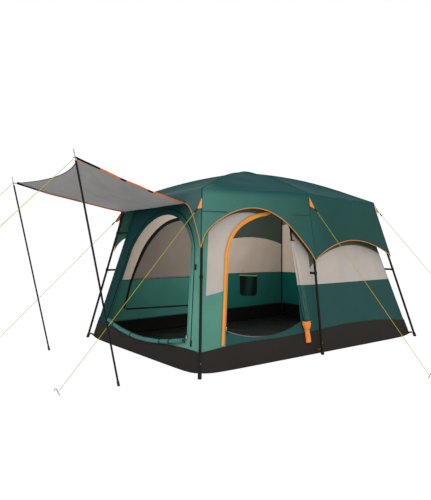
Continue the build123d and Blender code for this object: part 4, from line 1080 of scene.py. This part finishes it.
# Painted light: the underside turns lighter towards the tent.
painted_light_beside_tent = add(tree, "MapRange", {0: place_on(tree)["X"], 1: -2.1, 2: -1.35},
                  interpolation_type="SMOOTHSTEP").outputs[0]
weave_into(tree, shader, mixed(tree, painted_light_beside_tent, awning_grey, srgb(196, 195, 195)), 0.55, 700.0, 1.2, 0.008)
awning_flat = np.stack([share * 1.5, along * 1.35], -1)
awning = thicken(built("awning_sheet", [(awning_grid, awning_flat)], awning_top, awning_under,
                       inside=(-2.0, 0, 0)), 0.0014, 1)
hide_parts("awning")
# Painted shade: black tape on the stretches where the binding twists into shade, orange on the rest.
shaded_twist_stretches = ((0.36, 0.41), (0.62, 0.67), (0.84, 1.0)), ((0.82, 1.0),)
bright_stretches = ((0.0, 0.36), (0.41, 0.62), (0.67, 0.84)), ((0.0, 0.82),)


def edge_rails(stretches):
    """The binding along parts of the awning's front and back edge, each part a share of its length."""
    steps = awning_grid.shape[1] - 1
    return [rail(edge[int(first * steps):int(last * steps) + 1], 0.003, half_height, (0, 0, 1))
            for edge, half_height, parts in zip((awning_grid[0], awning_grid[-1]), (0.0085, 0.014), stretches)
            for first, last in parts]


bars("awning_binding", edge_rails(shaded_twist_stretches), black_tape)
orange_binding = cloth_finish("deep orange binding", srgb(214, 112, 56), 0.6, 900.0, 0.3, 0.001)
bars("awning_piping", edge_rails(bright_stretches), orange_binding)
bars("awning_rim", [rail(awning_grid[:, -1], 0.004, 0.003, (0, 0, 1), 8)], black_tape)


# Awning corners: a black webbing strap and a black steel ring over the pole's spike, and at the front corner
# an orange gusset under the sheet.

ring_radius, gusset_share = 0.0165, 0.26
ring_grids, strap_grids, gusset_grids = [], [], []
for side_name, corner in (("front", awning_grid[0, -1]), ("back", awning_grid[-1, -1])):
    centre, up_dir = ring_centre[side_name], pole_up[side_name]
    level = corner - centre
    level = level - up_dir * (level @ up_dir)
    level /= np.linalg.norm(level)
    beside = np.cross(up_dir, level)
    loop = centre + ring_radius * (level * np.cos(hoop)[:, None] + beside * np.sin(hoop)[:, None])
    ring_grids.append(rail(loop, 0.0025, 0.0015, up_dir, 8, False))
    start = centre + ring_radius * level
    strap = start + (corner - start) * np.linspace(0, 1, 12)[:, None]
    if side_name == "back":
        tail = corner + (awning_grid[-2, -3] - corner) * np.linspace(0.1, 1, 10)[:, None]
        strap = np.concatenate([strap, tail]) - [0, 0, 0.004]
    strap_grids.append(rail(strap, 0.010, 0.0035, up_dir))
    if side_name == "front":
        edge_way = awning_grid[0, -14] - corner
        rim_way = awning_grid[12, -1] - corner
        s, t = np.meshgrid(np.linspace(0, 1, 12), np.linspace(0, 1, 12), indexing="ij")
        spread = edge_way * (s * (1 - t))[..., None] + rim_way * (s * t)[..., None]
        gusset_grids.append((corner + gusset_share * spread + [0, 0, -0.004], np.stack([s, t], -1) * 0.1))
bars("awning_rings", ring_grids, powder_coat)
straps = bars("awning_straps", strap_grids, black_tape)
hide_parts("awning_corner_straps")
gussets = thicken(built("awning_gussets", gusset_grids, flap_cloth), 0.0015)


# Awning poles: black steel tubes with a plated spike pressed into the top and a rubber shoe on the foot.

dress(powder_coat, "awning_pole_front", "awning_pole_back")
zinc_plate = hard_finish("zinc plate", srgb(150, 150, 148), srgb(110, 106, 100), 0.35, 800.0, 0.0003,
                         Metallic=1.0)
dress(zinc_plate, "awning_spike_front", "awning_spike_back")
rubber = hard_finish("black rubber", srgb(28, 27, 27), srgb(70, 66, 60), 0.75, 600.0, 0.0008)
dress(rubber, "awning_shoe_front", "awning_shoe_back")


# Guy lines: pale yellow-green braided cord, 4 mm thick, pulled straight from the tabs and the awning's
# rings to steel pegs in the ground. Nylon runners on the four fly guys set their length.

cord_look, tree, shader = finish_of("yellow-green braid", srgb(208, 200, 100), 0.7, Specular_IOR_Level=0.1)
braid = add(tree, "TexWave", {"Vector": add(tree, "TexCoord").outputs["Object"], "Scale": 260.0,
                              "Distortion": 1.5}, bands_direction="DIAGONAL")
tree.links.new(mixed(tree, braid.outputs["Fac"], srgb(176, 164, 14), srgb(208, 197, 48)),
               shader.inputs["Base Color"])
past_tab, past_ring, short_of_peg = 0.078, 0.021, 0.007
guys = {leg: (*tab_line(leg), past_tab) for leg in ("front_left", "front_middle", "front_right", "back_left")}
for side_name, peg in (("front", (-4.384, -1.003)), ("back", (-4.384, 0.733))):
    end = peg_hold(ring_centre[side_name], peg)
    way = end - ring_centre[side_name]
    guys["awning_" + side_name] = (ring_centre[side_name], end, way / np.linalg.norm(way), past_ring)
for name, (root, end, way, start) in guys.items():
    sag = 0.008 if name.startswith("awning_") else 0.0
    line = np.stack([root + way * start, (root + end) / 2 - [0, 0, sag], end - way * short_of_peg])
    curve = bpy.data.curves.new("cord_" + name, "CURVE")
    curve.dimensions = "3D"
    curve.bevel_depth = 0.002
    curve.bevel_resolution = 3
    spline = curve.splines.new("NURBS")
    spline.points.add(2)
    spline.points.foreach_set("co", np.concatenate([line, np.ones((3, 1))], 1).ravel())
    spline.order_u = 3
    spline.use_endpoint_u = True
    cord = bpy.data.objects.new("cord_" + name, curve)
    bpy.context.scene.collection.objects.link(cord)
    curve.materials.append(cord_look)
    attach(cord, "tent")
    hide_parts("guy_" + name)
dress(nylon, *(n for n in nodes if n.startswith("runner_")))
dress(zinc_plate, "ground_pegs")


# Studio: a pale floor, soft daylight from all round, a large lamp from the front left and one inside
# that stands for the light that comes through the cloth.

floor_size = 40.0
studio_floor = bpy.data.meshes.new("studio_floor")
floor_corners = [(x * floor_size, y * floor_size, 0) for x, y in ((-1, -1), (1, -1), (1, 1), (-1, 1))]
studio_floor.from_pydata(floor_corners, [], [(0, 1, 2, 3)])
studio = bpy.data.objects.new("studio_floor", studio_floor)
bpy.context.scene.collection.objects.link(studio)
floor_look, tree, shader = finish_of("pale studio floor", (0.9, 0.9, 0.9), 0.9)
glow = add(tree, "Emission", {"Color": (1, 1, 1), "Strength": 1.05})
seen = add(tree, "LightPath").outputs["Is Camera Ray"]
mixer = add(tree, "MixShader", {0: calc(tree, "MULTIPLY", seen, 0.93)})
tree.links.new(shader.outputs[0], mixer.inputs[1])
tree.links.new(glow.outputs[0], mixer.inputs[2])
tree.links.new(mixer.outputs[0], tree.nodes["Material Output"].inputs["Surface"])
studio_floor.materials.append(floor_look)

world = bpy.data.worlds.new("studio")
world.use_nodes = True
bpy.context.scene.world = world
sky = world.node_tree.nodes["Background"]
path_kind = add(world.node_tree, "LightPath").outputs
bright = calc(world.node_tree, "MAXIMUM", path_kind["Is Camera Ray"], path_kind["Is Transmission Ray"])
world.node_tree.links.new(calc(world.node_tree, "MULTIPLY_ADD", bright, 0.25, 0.75), sky.inputs["Strength"])
sky.inputs["Color"].default_value = (1, 1, 1, 1)


def lamp(name, place, target, size, power):
    """A square soft lamp at a place, turned to a target."""
    data = bpy.data.lights.new(name, "AREA")
    data.size, data.energy = size, power
    made = bpy.data.objects.new(name, data)
    way = np.array(target, float) - np.array(place, float)
    way /= np.linalg.norm(way)
    made.location = place
    made.rotation_euler = (np.arccos(-way[2]), 0, np.arctan2(way[1], way[0]) - np.pi / 2)
    made.visible_camera = False
    bpy.context.scene.collection.objects.link(made)


lamp("key", (-3.5, -6.8, 3.2), (-0.3, -0.6, 1.0), 3.5, 110)
lamp("inside", (-0.2, -0.45, 1.15), (0.6, 0.75, 0.75), 0.8, 26)

camera = bpy.data.objects.new("camera", bpy.data.cameras.new("camera"))
camera.location = (-3.972, -4.495, 1.088)
camera.rotation_euler = (np.pi / 2 - np.radians(0.06), 0, -np.radians(37.075))
sensor, focal_pixels, picture_height = 36.0, 479.164, 500
camera.data.sensor_width = sensor
camera.data.lens = sensor * focal_pixels / picture_height
bpy.context.scene.collection.objects.link(camera)
bpy.context.scene.camera = camera
bpy.context.scene.view_settings.view_transform = "Standard"
